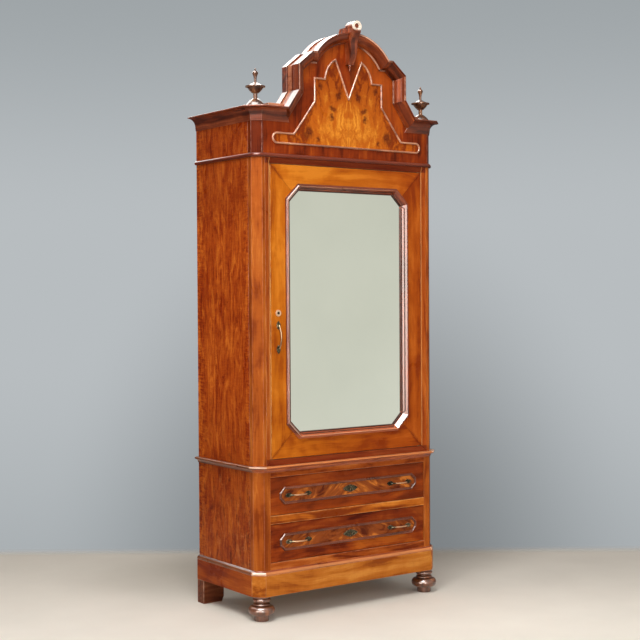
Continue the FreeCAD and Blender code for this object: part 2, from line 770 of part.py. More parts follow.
stop_y = (surround_depth, surround_depth + stop_thickness)
stop_inner_half = opening_half - stop_overlap
stop_outer_half = stop_inner_half + stop_width
stop_end = pivot_x - stop_hinge_clearance
stop_floor = opening_floor + stop_overlap
stop_ceiling = opening_ceiling - stop_overlap
group("door_stops",
      board("stop_left", (-stop_outer_half, -stop_inner_half), stop_y,
            (stop_floor, stop_ceiling)),
      board("stop_low", (-stop_outer_half, stop_end), stop_y,
            (stop_floor - stop_width, stop_floor)),
      board("stop_high", (-stop_outer_half, stop_end), stop_y,
            (stop_ceiling, stop_ceiling + stop_width)))

# Inside: hat shelf on battens, and the hanging rail below it in its sockets
shelf_floor = upper_case_top - shelf_drop
shelf_half = inner_half - seat_gap
keep(board("hat_shelf", (-shelf_half, shelf_half), (shelf_setback, back_face),
           (shelf_floor, shelf_floor + shelf_thickness)), "hat_shelf")
pair("shelf_battens", board("shelf_batten", (-inner_half, batten_thickness - inner_half),
                            (shelf_setback, back_face), (shelf_floor - batten_height, shelf_floor)))
rail_z = shelf_floor - rail_drop
rail_y = (shelf_setback + back_face) / 2
rail_half = inner_half - seat_gap
keep(rod("hanging_rail", rail_radius, -rail_half, rail_half, ZERO, rail_y, rail_z, "x"),
     "hanging_rail")
socket = cut("rail_socket", rod("rail_socket_disc", socket_radius, -inner_half,
                                socket_thickness - inner_half, ZERO, rail_y, rail_z, "x"),
             rod("rail_socket_bore", rail_radius + socket_fit, -inner_half,
                 socket_thickness - inner_half, ZERO, rail_y, rail_z, "x"))
pair("rail_sockets", socket)

# Door frame: stiles and rails mitred at the corners, round an eight-sided opening
hole_half = band_half - mirror_lip
hole_floor = door_floor + door_low_rail_show + mirror_lip
hole_ceiling = door_ceiling - door_high_rail_show - mirror_lip
hole_clip = mirror_clip - mirror_lip * (2 - math.sqrt(2))
clip_half = hole_clip / 2
stile_outline = [
    (-door_half, door_floor), (clip_half - hole_half, hole_floor + clip_half),
    (-hole_half, hole_floor + hole_clip), (-hole_half, hole_ceiling - hole_clip),
    (clip_half - hole_half, hole_ceiling - clip_half), (-door_half, door_ceiling)]
stile_left_blank = shaped_board("stile_left_blank", "xz", stile_outline, door_setback, door_back)
stile_right_blank = shaped_board("stile_right_blank", "xz", [(-x, z) for x, z in stile_outline],
                                 door_setback, door_back)
lock_x = (-door_half, lock_case_length - door_half)
lock_z = (keyhole_z - lock_case_height / 2, keyhole_z + lock_case_height / 2)
stile_left = cut(
    "door_stile_left", stile_left_blank,
    board("lock_recess", (lock_x[0], lock_x[1] + lock_clearance),
          (lock_front - lock_clearance, lock_back),
          (lock_z[0] - lock_clearance, lock_z[1] + lock_clearance)),
    rod("stile_keyhole", keyhole_radius, door_setback, lock_front, -stile_middle, ZERO,
        keyhole_z, "y"),
    board("stile_keyway", (-stile_middle - keyhole_slot / 2, keyhole_slot / 2 - stile_middle),
          (door_setback, lock_front), (keyhole_z - keyhole_drop, keyhole_z)))


def plate_recess(name, low, high):
    return board(name, plate_x, plate_y, (low, high))


low_hinge_cuts = [
    plate_recess("low_plate_recess", door_floor, door_floor + plate_thickness),
    rod("low_pin_hole", pin_hole_radius, ZERO, pin_hole_depth, pivot_x, pivot_y, door_floor)]
high_hinge_cuts = [
    plate_recess("high_plate_recess", door_ceiling - plate_thickness, door_ceiling),
    rod("high_pin_hole", pin_hole_radius, -pin_hole_depth, ZERO, pivot_x, pivot_y,
        door_ceiling)]
stile_right = cut("door_stile_right", stile_right_blank, *low_hinge_cuts, *high_hinge_cuts)
group("door_stiles", stile_left, stile_right)


def door_rail(name, edge, sight_edge, sight_step):
    return shaped_board(name, "xz", [
        (-door_half, edge), (clip_half - hole_half, sight_edge - sight_step / 2),
        (hole_clip - hole_half, sight_edge), (hole_half - hole_clip, sight_edge),
        (hole_half - clip_half, sight_edge - sight_step / 2), (door_half, edge)],
        door_setback, door_back)


group("door_rails",
      cut("door_rail_low", door_rail("rail_low_blank", door_floor, hole_floor, -hole_clip),
          *low_hinge_cuts),
      cut("door_rail_high", door_rail("rail_high_blank", door_ceiling, hole_ceiling, hole_clip),
          *high_hinge_cuts))

# Mirror: a raised moulding round the glass, the glass in the opening, a board behind it
band_outline = clipped_rectangle(
    -band_half, band_half, hole_floor - mirror_lip, hole_ceiling + mirror_lip, mirror_clip)
glass_front = door_back - glass_thickness - seat_gap
mirror_back = glass_front - seat_gap - door_setback
mirror_profile = [
    (ZERO, ZERO), (ZERO, mirror_edge), (mirror_bead, mirror_proud, mirror_bead, -1),
    (mirror_bead + mirror_edge / 2, mirror_proud - mirror_edge / 2),
    (mirror_band - mirror_edge, -mirror_slope_end), (mirror_band, -mirror_slope_end),
    (mirror_band, -mirror_back), (mirror_lip + seat_gap, -mirror_back),
    (mirror_lip + seat_gap, ZERO)]
free_shape("mirror_moulding", Part.makeCompound(
    mitred_lengths(band_outline, mirror_profile, mirror_band, door_setback)))
glass_half = hole_half - seat_gap
keep(shaped_board("mirror_glass", "xz", clipped_rectangle(
    -glass_half, glass_half, hole_floor + seat_gap, hole_ceiling - seat_gap, hole_clip),
    glass_front, glass_front + glass_thickness), "mirror_glass")
cover_half = hole_half + cover_margin
keep(board("mirror_cover_board", (-cover_half, cover_half), (door_back, door_back + cover_thickness),
           (hole_floor - cover_margin, hole_ceiling + cover_margin)), "mirror_cover_board")

# Pivot hinges: a plate with an upright pin in the surround, a bored plate in the door's edge
pin_reach = door_gap + pivot_pin_length
collar_height = door_gap - seat_gap
low_pin = fuse("low_pivot",
               board("low_case_plate", plate_x, plate_y,
                     (opening_floor - plate_thickness, opening_floor)),
               rod("low_collar", pivot_collar_radius, ZERO, collar_height, pivot_x, pivot_y,
                   opening_floor),
               rod("low_pin", pivot_pin_radius, ZERO, pin_reach, pivot_x, pivot_y,
                   opening_floor))
high_pin = fuse("high_pivot",
                board("high_case_plate", plate_x, plate_y,
                      (opening_ceiling, opening_ceiling + plate_thickness)),
                rod("high_collar", pivot_collar_radius, -collar_height, ZERO, pivot_x, pivot_y,
                    opening_ceiling),
                rod("high_pin", pivot_pin_radius, -pin_reach, ZERO, pivot_x, pivot_y,
                    opening_ceiling))
group("case_pivot_plates", low_pin, high_pin)
pin_bore = pivot_pin_radius + pivot_pin_fit
group("door_pivot_plates",
      cut("low_door_plate", board("low_door_plate_blank", plate_x, plate_y,
                                  (door_floor, door_floor + plate_thickness)),
          rod("low_plate_bore", pin_bore, ZERO, plate_thickness, pivot_x, pivot_y, door_floor)),
      cut("high_door_plate", board("high_door_plate_blank", plate_x, plate_y,
                                   (door_ceiling - plate_thickness, door_ceiling)),
          rod("high_plate_bore", pin_bore, -plate_thickness, ZERO, pivot_x, pivot_y,
              door_ceiling)))

# Door lock: a case let into the back of the left stile, with a bolt that slides sideways
bolt_x = (bolt_clearance - door_half, bolt_length - door_half)
bolt_y = (bolt_middle_y - bolt_thickness / 2, bolt_middle_y + bolt_thickness / 2)
bolt_z = (keyhole_z - bolt_height / 2, keyhole_z + bolt_height / 2)
keep(cut("door_lock_case",
         board("lock_case_blank", lock_x, (lock_front, lock_back), lock_z),
         board("lock_channel", (lock_x[0], bolt_x[1] + bolt_clearance),
               (bolt_y[0] - bolt_clearance, bolt_y[1] + bolt_clearance),
               (bolt_z[0] - bolt_clearance, bolt_z[1] + bolt_clearance)),
         rod("lock_keyhole", keyhole_radius, lock_front, bolt_y[0] - bolt_clearance,
             -stile_middle, ZERO, keyhole_z, "y")), "door_lock_case")
keep(board("door_lock_bolt", bolt_x, bolt_y, bolt_z), "door_lock_bolt")


# A keyhole through a plate that faces the front.
def keyhole_cut(shape, x, z, front):
    depth = float(plate_proud) * 2
    way = Vector(0, 1, 0)
    start = Vector(float(x), float(front) - depth / 4, float(z))
    round_hole = Part.makeCylinder(float(keyhole_radius), depth, start, way)
    slot = box_shape((x - keyhole_slot / 2, x + keyhole_slot / 2),
                     (front - plate_proud / 2, front + plate_proud * 3 / 2),
                     (z - keyhole_drop, z))
    return shape.cut(round_hole).cut(slot)


# A leaf with two pointed ends, along x or z, its back on the level `back`.
def leaf_shape(x, z, length, height, back, upright=False):
    half, rise = length / 2, height / 2
    radius = (half.value * half.value + rise.value * rise.value) / (2 * rise.value)
    points = [(half, ZERO, radius, -1), (-half, ZERO, radius, -1)]

    def place(u, v):
        across, up = (v, u) if upright else (u, v)
        return Vector(float(x) + across, float(back), float(z) + up)

    return outline_face(points, place).extrude(Vector(0, -float(plate_proud), 0))


# A fixed bow pull: two leaves, two posts and an arched bar between them.
def bow_pull(x, z, back, upright=False):
    half = pull_spacing / 2
    along = Vector(0, 0, 1) if upright else Vector(1, 0, 0)
    front = Vector(0, -1, 0)
    centre = Vector(float(x), float(back), float(z))
    shape = None
    ends = []
    for side in (-1, 1):
        mount = centre + along * (side * float(half))
        if upright:
            leaf = leaf_shape(x, z + half * side, leaf_length, leaf_height, back, True)
        else:
            leaf = leaf_shape(x + half * side, z, leaf_length, leaf_height, back)
        post = Part.makeCylinder(float(pull_post_radius), float(pull_post_height), mount, front)
        ends.append(mount + front * float(pull_post_height - pull_bar_radius))
        for piece in (leaf, post):
            shape = piece if shape is None else shape.fuse(piece)
    crown = centre + front * float(pull_proud - pull_bar_radius)
    path = Part.Wire(Part.Arc(ends[0], crown, ends[1]).toShape())
    tangent = path.Edges[0].tangentAt(path.Edges[0].FirstParameter)
    ring = Part.Wire(Part.Circle(ends[0], tangent, float(pull_bar_radius)).toShape())
    bar = path.makePipeShell([ring], True, True)
    return shape.fuse(bar).removeSplitter()


# Door furniture: a round keyhole ring and an upright bow pull on the left stile
ring = Part.makeCylinder(float(ring_radius), float(plate_proud),
                         Vector(-float(stile_middle), float(door_setback), float(keyhole_z)),
                         Vector(0, -1, 0))
ring = keyhole_cut(ring, -stile_middle, keyhole_z, door_setback - plate_proud)
door_pull = bow_pull(-stile_middle, keyhole_z - door_pull_drop, door_setback, True)
free_shape("door_furniture", Part.makeCompound([ring, door_pull]))


frame_cove_share = 0.75


# One drawer: front with its raised frame, box, bottom, lock with bolt, pulls and keyhole leaf
def drawer(name, floor, ceiling):
    low = floor + drawer_gap
    high = ceiling - drawer_gap
    middle = (low + high) / 2
    half = drawer_half - drawer_gap
    front_y = drawer_setback
    back_y = drawer_setback + drawer_front_thickness
    lock_low = middle - drawer_lock_below_key
    lock_front_y = back_y - drawer_lock_depth
    lock_half = drawer_lock_width / 2
    bolt_half = drawer_bolt_width / 2
    bolt_mid = (lock_front_y + back_y) / 2
    bolt_span = (bolt_mid - bolt_thickness / 2, bolt_mid + bolt_thickness / 2)
    bolt_low = middle + drawer_lock_below_key
    blank = shaped_board(name + "_blank", "xz",
                         [(-half, low), (half, low), (half, high), (-half, high)],
                         front_y, back_y)
    doc.recompute()
    pad = blank.Tip
    front_edges = [f"Edge{index + 1}" for index, edge in enumerate(pad.Shape.Edges)
                   if edge.BoundBox.YMax < float(front_y + seat_gap)]
    rounding = blank.newObject("PartDesign::Fillet", name + "_edge")
    rounding.Base = (pad, front_edges)
    rounding.setExpression("Radius", drawer_edge_round.text)
    blank.Tip = rounding
    keep(cut(name + "_front", blank,
             board(name + "_lock_recess", (-lock_half - lock_clearance, lock_half + lock_clearance),
                   (lock_front_y - lock_clearance, back_y), (lock_low - lock_clearance, high)),
             rod(name + "_keyhole", keyhole_radius, front_y, lock_front_y, ZERO, ZERO, middle, "y"),
             board(name + "_keyway", (-keyhole_slot / 2, keyhole_slot / 2),
                   (front_y, lock_front_y), (middle - keyhole_drop, middle))), name + "_front")
    side_outer = half - drawer_side_clearance
    side_inner = side_outer - drawer_side_thickness
    box_end = back_face - drawer_rear_room
    box_floor = floor + seat_gap
    box_top = ceiling - drawer_side_room
    bottom_low = box_floor + drawer_bottom_lift
    bottom_top = bottom_low + drawer_bottom_thickness
    side = board(name + "_side", (-side_outer, -side_inner), (back_y, box_end),
                 (box_floor, box_top))
    back = board(name + "_back", (-side_inner, side_inner),
                 (box_end - drawer_side_thickness, box_end), (bottom_top, box_top))
    group(name + "_box", side, mirrored(side), back)
    keep(board(name + "_bottom", (-side_inner, side_inner), (back_y, box_end),
               (bottom_low, bottom_top)), name + "_bottom")
    frame_half = drawer_half - drawer_frame_margin
    frame_rise = drawer_frame_height / 2
    band = drawer_frame_band
    frame_profile = [
        (ZERO, ZERO), (ZERO, drawer_frame_valley), (band / 4, drawer_frame_proud),
        (band / 2, drawer_frame_proud), (band * frame_cove_share, drawer_frame_valley, band / 2, 1),
        (band, drawer_frame_valley), (band, ZERO)]
    frame = mitred_lengths(clipped_rectangle(-frame_half, frame_half, middle - frame_rise,
                                             middle + frame_rise, drawer_frame_clip),
                           frame_profile, band, front_y)
    free_shape(name + "_frame", Part.makeCompound(frame))
    leaf = leaf_shape(ZERO, middle, key_leaf_length, key_leaf_height, front_y)
    disc = Part.makeCylinder(float(key_disc_radius), float(plate_proud),
                             Vector(0, float(front_y), float(middle)), Vector(0, -1, 0))
    keyplate = keyhole_cut(leaf.fuse(disc).removeSplitter(), ZERO, middle, front_y - plate_proud)
    pull_x = frame_half - drawer_pull_inset
    pulls = [bow_pull(pull_x * side, middle, front_y) for side in (-1, 1)]
    lock_case = box_shape((-lock_half, lock_half), (lock_front_y, back_y), (lock_low, high))
    channel = box_shape((-bolt_half - bolt_clearance, bolt_half + bolt_clearance),
                        (bolt_span[0] - bolt_clearance, bolt_span[1] + bolt_clearance),
                        (bolt_low - bolt_clearance, high))
    key_way = Part.makeCylinder(float(keyhole_radius), float(bolt_span[0] - lock_front_y),
                                Vector(0, float(lock_front_y), float(middle)), Vector(0, 1, 0))
    lock = lock_case.cut(channel).cut(key_way)
    free_shape(name + "_fittings", Part.makeCompound(pulls + [keyplate, lock]))
    keep(board(name + "_bolt", (-bolt_half, bolt_half), bolt_span,
               (bolt_low, high - bolt_clearance)), name + "_bolt")


drawer("lower_drawer", lower_drawer_floor, lower_drawer_ceiling)
drawer("upper_drawer", upper_drawer_floor, upper_drawer_ceiling)

# Frieze: bead round the top board, side boards, canted corner blocks and a back rail
frieze_bead_share = 0.62
wrapped_moulding("frieze_bead", [
    (ZERO, ZERO), (frieze_bead_nose, ZERO),
    (frieze_bead_nose, top_board_thickness, top_board_thickness * frieze_bead_share, 1),
    (ZERO, top_board_thickness)], upper_case_top)
frieze_return_x = half_width - cant - frieze_corner_return
frieze_block_x = half_width - frieze_block
frieze_block_y = frieze_block + side_thickness
pair("frieze_corners", shaped_board("frieze_corner", "xy", [
    (-half_width, post_depth), (-half_width, cant), (cant - half_width, ZERO),
    (-frieze_return_x, ZERO), (-frieze_return_x, pediment_thickness),
    (-frieze_block_x, pediment_thickness), (-frieze_block_x, frieze_block_y),
    (-inner_half, frieze_block_y), (-inner_half, post_depth)],
    frieze_floor, frieze_top))
frieze_side = board("frieze_side", (-half_width, -inner_half), (post_depth, case_depth),
                    (frieze_floor, frieze_top))
roof_back = case_depth - side_thickness
group("frieze_boards", frieze_side, mirrored(frieze_side),
      board("frieze_back", (-inner_half, inner_half), (roof_back, case_depth),
            (frieze_floor, frieze_top)))
roof_left = [(-frieze_block_x, pediment_thickness), (-frieze_block_x, frieze_block_y),
             (-inner_half, frieze_block_y), (-inner_half, roof_back)]
keep(shaped_board("roof_board", "xy", roof_left + [(-x, y) for x, y in reversed(roof_left)],
                  frieze_top - roof_thickness, frieze_top), "roof_board")

# Crest outline, from the right foot over the arch to the left foot
crest_half = half_width - crest_inset
crest_foot_half = crest_half + crest_slope_run
crest_shoulder_half = crest_half - crest_shoulder_run
crest_step_half = crest_shoulder_half - crest_step_run
side_floor = frieze_top + crest_slope_rise
side_top = side_floor + crest_side_rise
step_z = side_top + crest_shoulder_rise
apex = step_z + crest_arch_rise
arch_radius = Size(
    f"({crest_step_half.text}^2 + {crest_arch_rise.text}^2) / (2 * {crest_arch_rise.text})",
    (crest_step_half.value ** 2 + crest_arch_rise.value ** 2) / (2 * crest_arch_rise.value))
crest_right = [(crest_foot_half, frieze_top), (crest_half, side_floor), (crest_half, side_top),
               (crest_shoulder_half, step_z), (crest_step_half, step_z)]
crest_left = [(-x, z) for x, z in reversed(crest_right)]

# The burl panel's outline, anticlockwise from its right tail
panel_side_share = 0.935
panel_shoulder_share = 0.655
panel_horn_share = 0.365
panel_tail_half = half_width - panel_tail_inset
panel_waist_half = panel_tail_half - panel_tail_length
panel_side_half = crest_step_half * panel_side_share
panel_shoulder_half = crest_step_half * panel_shoulder_share
panel_horn_half = crest_step_half * panel_horn_share
panel_floor = frieze_floor + panel_base_rise
panel_tail_top = panel_floor + panel_tail_height
panel_side_floor = panel_tail_top + panel_slope_rise
panel_side_top = panel_side_floor + panel_side_rise
panel_horn = panel_side_top + panel_horn_rise
tail_round_share = 0.5005
tail_radius = panel_tail_height * tail_round_share
panel_outline = [
    (panel_tail_half, panel_floor),
    (panel_tail_half, panel_tail_top, tail_radius, -1), (panel_waist_half, panel_tail_top),
    (panel_side_half, panel_side_floor), (panel_side_half, panel_side_top),
    (panel_shoulder_half, panel_side_top),
    (panel_horn_half, panel_horn, panel_horn_radius, -1), (ZERO, panel_horn - panel_notch_depth),
    (-panel_horn_half, panel_horn),
    (-panel_shoulder_half, panel_side_top, panel_horn_radius, -1),
    (-panel_side_half, panel_side_top), (-panel_side_half, panel_side_floor),
    (-panel_waist_half, panel_tail_top), (-panel_tail_half, panel_tail_top),
    (-panel_tail_half, panel_floor, tail_radius, -1)]

# Pediment board: the frieze's front and the crest's face in one board, cut out for the panel
pediment_blank = shaped_board("pediment_blank", "xz", [
    (-frieze_return_x, frieze_floor), (frieze_return_x, frieze_floor),
    (frieze_return_x, frieze_top)] + crest_right
    + [(-crest_step_half, step_z, arch_radius, -1)] + crest_left[1:]
    + [(-frieze_return_x, frieze_top)], ZERO, pediment_thickness)
panel_hole = shaped_board("panel_hole", "xz", panel_outline, ZERO, pediment_thickness)
keep(cut("pediment_board", pediment_blank, panel_hole), "pediment_board")


def upright_place(y):
    return lambda x, z: Vector(x, float(y), z)


# A flat face whose border lies `distance` outside the outline.
def offset_face(points, distance, y):
    wire = Part.Wire([edge.toShape() for edge in outline_edges(points, upright_place(y))])
    return Part.Face(wire.makeOffset2D(distance, 2 if distance > 0 else 0))


forward = Vector(0, -1, 0)
keep(shaped_board("burl_panel", "xz", panel_outline, ZERO, pediment_thickness), "burl_panel")
bead_half = float(panel_bead_width) / 2
bead = offset_face(panel_outline, bead_half, ZERO).extrude(forward * float(panel_bead_proud))
bead = bead.cut(offset_face(panel_outline, -bead_half, ZERO).extrude(
    forward * float(panel_bead_proud)))
front_edges = [edge for edge in bead.Edges
               if edge.BoundBox.YMax < float(-panel_bead_proud) + float(seat_gap)]
free_shape("panel_bead", bead.makeChamfer(float(panel_bead_round), front_edges))

# Crest moulding: a cove that projects from the pediment board, mitred along the crest
cove_depth = cornice_projection - cornice_quirk - cornice_neck
cove_round_share = 1.02
cove_radius = cove_depth * cove_round_share
cove = [(ZERO, cornice_projection), (cornice_fillet, cornice_projection),
        (cornice_fillet, cornice_projection - cornice_quirk)]
crest_profile = [(ZERO, ZERO)] + cove + [
    (crest_band - cornice_neck, cornice_neck, cove_radius, 1),
    (crest_band, cornice_neck), (crest_band, ZERO)]
crest_route = [(frieze_return_x, frieze_top)] + crest_right[:4] + [
    (ZERO, step_z), (ZERO, frieze_floor)]
*crest_lengths, step_bar = mitred_lengths(crest_route, crest_profile, crest_band, ZERO,
                                          [1, 2, 3, 4])
arch_centre = apex - arch_radius
step_x, arch_z = float(crest_step_half), float(arch_centre)
inner_radius = float(arch_radius) - float(crest_band)
step_drop = float(step_z - arch_centre) - float(crest_band)
inner_step = Vector(math.sqrt(inner_radius ** 2 - step_drop ** 2), 0, float(step_z - crest_band))
outer_step = Vector(step_x, 0, float(step_z))


def arch_place(across, proud):
    return Vector(0, -proud, float(apex) - across)


ring_of_cove = outline_face(crest_profile, arch_place).revolve(
    Vector(0, 0, arch_z), Vector(0, 1, 0), 360)
mitre_way = (outer_step - inner_step) * 0.5
far = float(cornice_projection) * 2
roof = float(apex) + float(crest_band)
corbel_slant = (corbel_width - corbel_foot_width).value / corbel_length.value / 2


def corbel_side_x(z):
    return float(corbel_width) / 2 - (float(apex) - z) * corbel_slant


arch_region = [Vector(corbel_side_x(roof), 0, roof), Vector(corbel_side_x(arch_z), 0, arch_z),
               inner_step - mitre_way, outer_step + mitre_way, Vector(step_x + far, 0, roof)]
arch_region = [Vector(corner.x, far, corner.z) for corner in arch_region]
arch_block = Part.Face(Part.makePolygon(arch_region + arch_region[:1])).extrude(forward * (2 * far))
arch_length = ring_of_cove.common(arch_block)

# The short level step between shoulder and arch
shoulder_mitre = [Vector(corner.x, far, corner.z) for corner in
                  (outer_step + mitre_way, inner_step - mitre_way,
                   inner_step - mitre_way + Vector(far, 0, 0), outer_step + mitre_way
                   + Vector(far, 0, 0))]
step_block = Part.Face(Part.makePolygon(shoulder_mitre + shoulder_mitre[:1])).extrude(
    forward * (2 * far))
step_length = step_bar.common(step_block)
right_lengths = crest_lengths + step_length.Solids + arch_length.Solids
left_lengths = [solid.mirror(Vector(), Vector(1, 0, 0)) for solid in right_lengths]
free_shape("crest_moulding", Part.makeCompound(right_lengths + left_lengths))

# Core and rear band: thick boards behind the pediment board that follow the crest
core_foot_half = half_width - core_foot_inset
slope_share = (crest_foot_half - crest_half).value / crest_slope_rise.value


# Crest outline on the roof board, drawn in by `recess`, with a low foot on each side.
def crest_board(name, recess, low, high):
    foot_top = frieze_top + core_foot_height
    foot_x = crest_foot_half - (foot_top - frieze_top) * slope_share - recess
    right = [(core_foot_half, frieze_top), (core_foot_half, foot_top), (foot_x, foot_top),
             (crest_half - recess, side_floor), (crest_half - recess, side_top),
             (crest_shoulder_half - recess, step_z - recess), (crest_step_half, step_z - recess)]
    left = [(-x, z) for x, z in reversed(right)]
    arc = (left[0][0], left[0][1], arch_radius, -1)
    return shaped_board(name, "xz", right + [arc] + left[1:], low, high)


core_back = pediment_thickness + core_thickness
keep(crest_board("crest_core", core_recess, pediment_thickness, core_back), "crest_core")
keep(crest_board("crest_rear_band", ZERO, core_back, core_back + rear_band_thickness),
     "crest_rear_band")

# Cornice: the same cove on the sides, cants and front, mitred into the crest's slopes
cornice_end = crest_foot_half - crest_band
slope_angle = math.atan2(crest_slope_rise.value, (crest_foot_half - crest_half).value)
cornice_route = case_outline[:3] + [(-cornice_end, ZERO)]
cornice_section = [(ZERO, ZERO), (cornice_neck / 2, ZERO),
                   (cornice_neck, cornice_height - crest_band),
                   (cornice_neck, cornice_height - crest_band + cornice_neck)] + [
    (cornice_projection - cornice_quirk, cornice_height - cornice_fillet, cove_radius, -1),
    (cornice_projection, cornice_height - cornice_fillet), (cornice_projection, cornice_height),
    (ZERO, cornice_height)]
mitre_slope = math.tan(slope_angle / 2)
mitre_foot = cornice_height * mitre_slope
overrun = cornice_projection
mitre_waste = shaped_board("cornice_mitre", "xz", [
    (-crest_foot_half - overrun * mitre_slope, frieze_top + overrun),
    (mitre_foot * 2 - crest_foot_half, frieze_top - cornice_height * 2),
    (ZERO, frieze_top - cornice_height * 2), (ZERO, frieze_top + overrun)],
    -cornice_projection * 2, case_depth)
left_cornice = cut("cornice_left", swept_moulding(
    "cornice_run", cornice_section, frieze_top - cornice_height, cornice_route), mitre_waste)
pair("cornice_moulding", left_cornice)

# Corbel: a scrolled bracket over the crest's middle, round on top, with a roll in front that has
# a sunk eye, a back that falls away behind, and a drop below
roll_z = apex + corbel_roll_rise
saddle_top = roll_z + corbel_width / 2
saddle_round_share = 0.5005
corbel_floor = apex - corbel_length
throat = (corbel_proud + corbel_foot_proud) / 2
throat_round_share = 0.8
shoulder_round_share = 0.6
side_profile = shaped_board("corbel_side_view", "yz", [
    (ZERO, corbel_floor), (-corbel_foot_proud, corbel_floor),
    (-throat, apex - corbel_length / 3, corbel_length * throat_round_share, 1),
    (-corbel_proud, apex + seat_gap, corbel_length * shoulder_round_share, -1),
    (-corbel_proud, saddle_top), (-corbel_saddle_level, saddle_top),
    (corbel_saddle_depth, apex + seat_gap, corbel_saddle_round, 1), (ZERO, apex + seat_gap)],
    -corbel_width / 2, corbel_width / 2)
front_view = shaped_board("corbel_front_view", "xz", [
    (-corbel_foot_width / 2, corbel_floor), (corbel_foot_width / 2, corbel_floor),
    (corbel_width / 2, apex), (corbel_width / 2, roll_z),
    (-corbel_width / 2, roll_z, corbel_width * saddle_round_share, 1),
    (-corbel_width / 2, apex)],
    -corbel_proud * 2, corbel_saddle_depth * 2)
bracket = doc.addObject("Part::Common", "corbel_bracket")
bracket.Base = side_profile
bracket.Tool = front_view
roll_front = -corbel_proud - corbel_roll_lead
cap_half = corbel_foot_width / 2 + corbel_cap_overhang
drop = doc.addObject("Part::Cone", "corbel_drop")
drop.setExpression("Radius1", drop_tip_radius.text)
drop.setExpression("Radius2", drop_radius.text)
drop.setExpression("Height", drop_length.text)
drop.setExpression("Placement.Base.y", (-(corbel_foot_proud + corbel_cap_overhang) / 2).text)
drop.setExpression("Placement.Base.z", (corbel_floor - drop_length).text)
corbel = fuse("corbel_body", bracket,
              rod("corbel_roll", corbel_roll_radius, roll_front, -corbel_saddle_level, ZERO, ZERO,
                  roll_z, "y"),
              board("corbel_cap", (-cap_half, cap_half),
                    (-corbel_foot_proud - corbel_cap_overhang, ZERO),
                    (corbel_floor, corbel_floor + corbel_cap_height)), drop)
eye_floor = roll_front + corbel_eye_depth
corbel = cut("corbel_eyed", corbel, cut(
    "corbel_eye", rod("corbel_eye_disc", corbel_eye_radius, roll_front, eye_floor, ZERO, ZERO,
                      roll_z, "y"),
    rod("corbel_eye_boss", corbel_boss_radius, roll_front, eye_floor, ZERO, ZERO, roll_z, "y")))
keep(corbel, "corbel")

# Urn finials: turned, with a domed foot, a stem, a wide dish, a neck and a bud
stem_top = finial_foot_height + finial_stem_height
bowl_top = stem_top + finial_bowl_height
rim_top = bowl_top + finial_rim_height
lid_top = rim_top + finial_lid_height
neck_top = lid_top + finial_neck_height
bud_top = neck_top + finial_bud_height
tip_base = bud_top + finial_dome_height
finial_profile = [
    (ZERO, ZERO), (finial_foot_radius, ZERO), (finial_foot_radius, finial_foot_edge),
    (finial_stem_radius, finial_foot_height, finial_foot_round, -1),
    (finial_stem_radius, stem_top), (finial_cup_radius, stem_top),
    (finial_bowl_radius, bowl_top, finial_bowl_round, -1),
    (finial_rim_radius, bowl_top), (finial_rim_radius, rim_top),
    (finial_neck_radius, lid_top, finial_lid_round, 1), (finial_neck_radius, neck_top),
    (finial_bud_radius, bud_top, finial_bud_flare, 1),
    (finial_tip_base, tip_base, finial_dome_round, -1),
    (finial_tip_flat, tip_base + finial_tip_height, finial_tip_round, -1),
    (ZERO, tip_base + finial_tip_height)]
pair("finials", turned("finial", finial_profile, finial_inset - half_width, finial_y,
                       frieze_top))

doc.recompute()
for item in doc.Objects:
    if "Invalid" in item.State or "Error" in item.State:
        raise RuntimeError(f"{item.Label}: {item.State}")
for item in nodes:
    if item.Shape.isNull() or not item.Shape.isValid() or not item.Shape.Solids:
        raise RuntimeError(f"{item.Label}: bad shape")
for item in nodes:
    item.Shape.exportStep(f"parts/{item.Label}.step")
print(len(nodes), "nodes,", sum(len(item.Shape.Solids) for item in nodes), "solids")
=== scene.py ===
import math

import bmesh
import bpy
from mathutils import Matrix, Vector


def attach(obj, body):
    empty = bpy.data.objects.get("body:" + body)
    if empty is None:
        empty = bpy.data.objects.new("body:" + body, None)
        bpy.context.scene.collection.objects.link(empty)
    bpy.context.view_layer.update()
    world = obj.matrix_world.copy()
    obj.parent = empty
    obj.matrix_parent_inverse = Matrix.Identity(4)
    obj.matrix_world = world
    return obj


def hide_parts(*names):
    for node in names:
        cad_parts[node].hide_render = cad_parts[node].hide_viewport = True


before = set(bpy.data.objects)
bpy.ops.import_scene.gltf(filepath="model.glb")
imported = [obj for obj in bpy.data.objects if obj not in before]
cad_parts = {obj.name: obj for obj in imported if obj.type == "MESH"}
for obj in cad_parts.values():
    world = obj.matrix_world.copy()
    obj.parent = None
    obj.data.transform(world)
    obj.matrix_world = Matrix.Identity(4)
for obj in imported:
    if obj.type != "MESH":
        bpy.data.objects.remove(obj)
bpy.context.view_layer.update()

scene = bpy.context.scene
scene.view_settings.view_transform = "Standard"

# Camera: stands to the left of the wardrobe's front at eye height, and looks a little down.
# Its place, turn and lens come from the straight edges and corners of the case.
CAMERA_PLACE = (-3.5342, -4.8893, 1.4182)
CAMERA_TURN, CAMERA_TILT, CAMERA_LEAN = (math.radians(a) for a in (35.775, -1.191, -0.337))
LENS_LENGTH, FILM_WIDTH = 73.24, 36

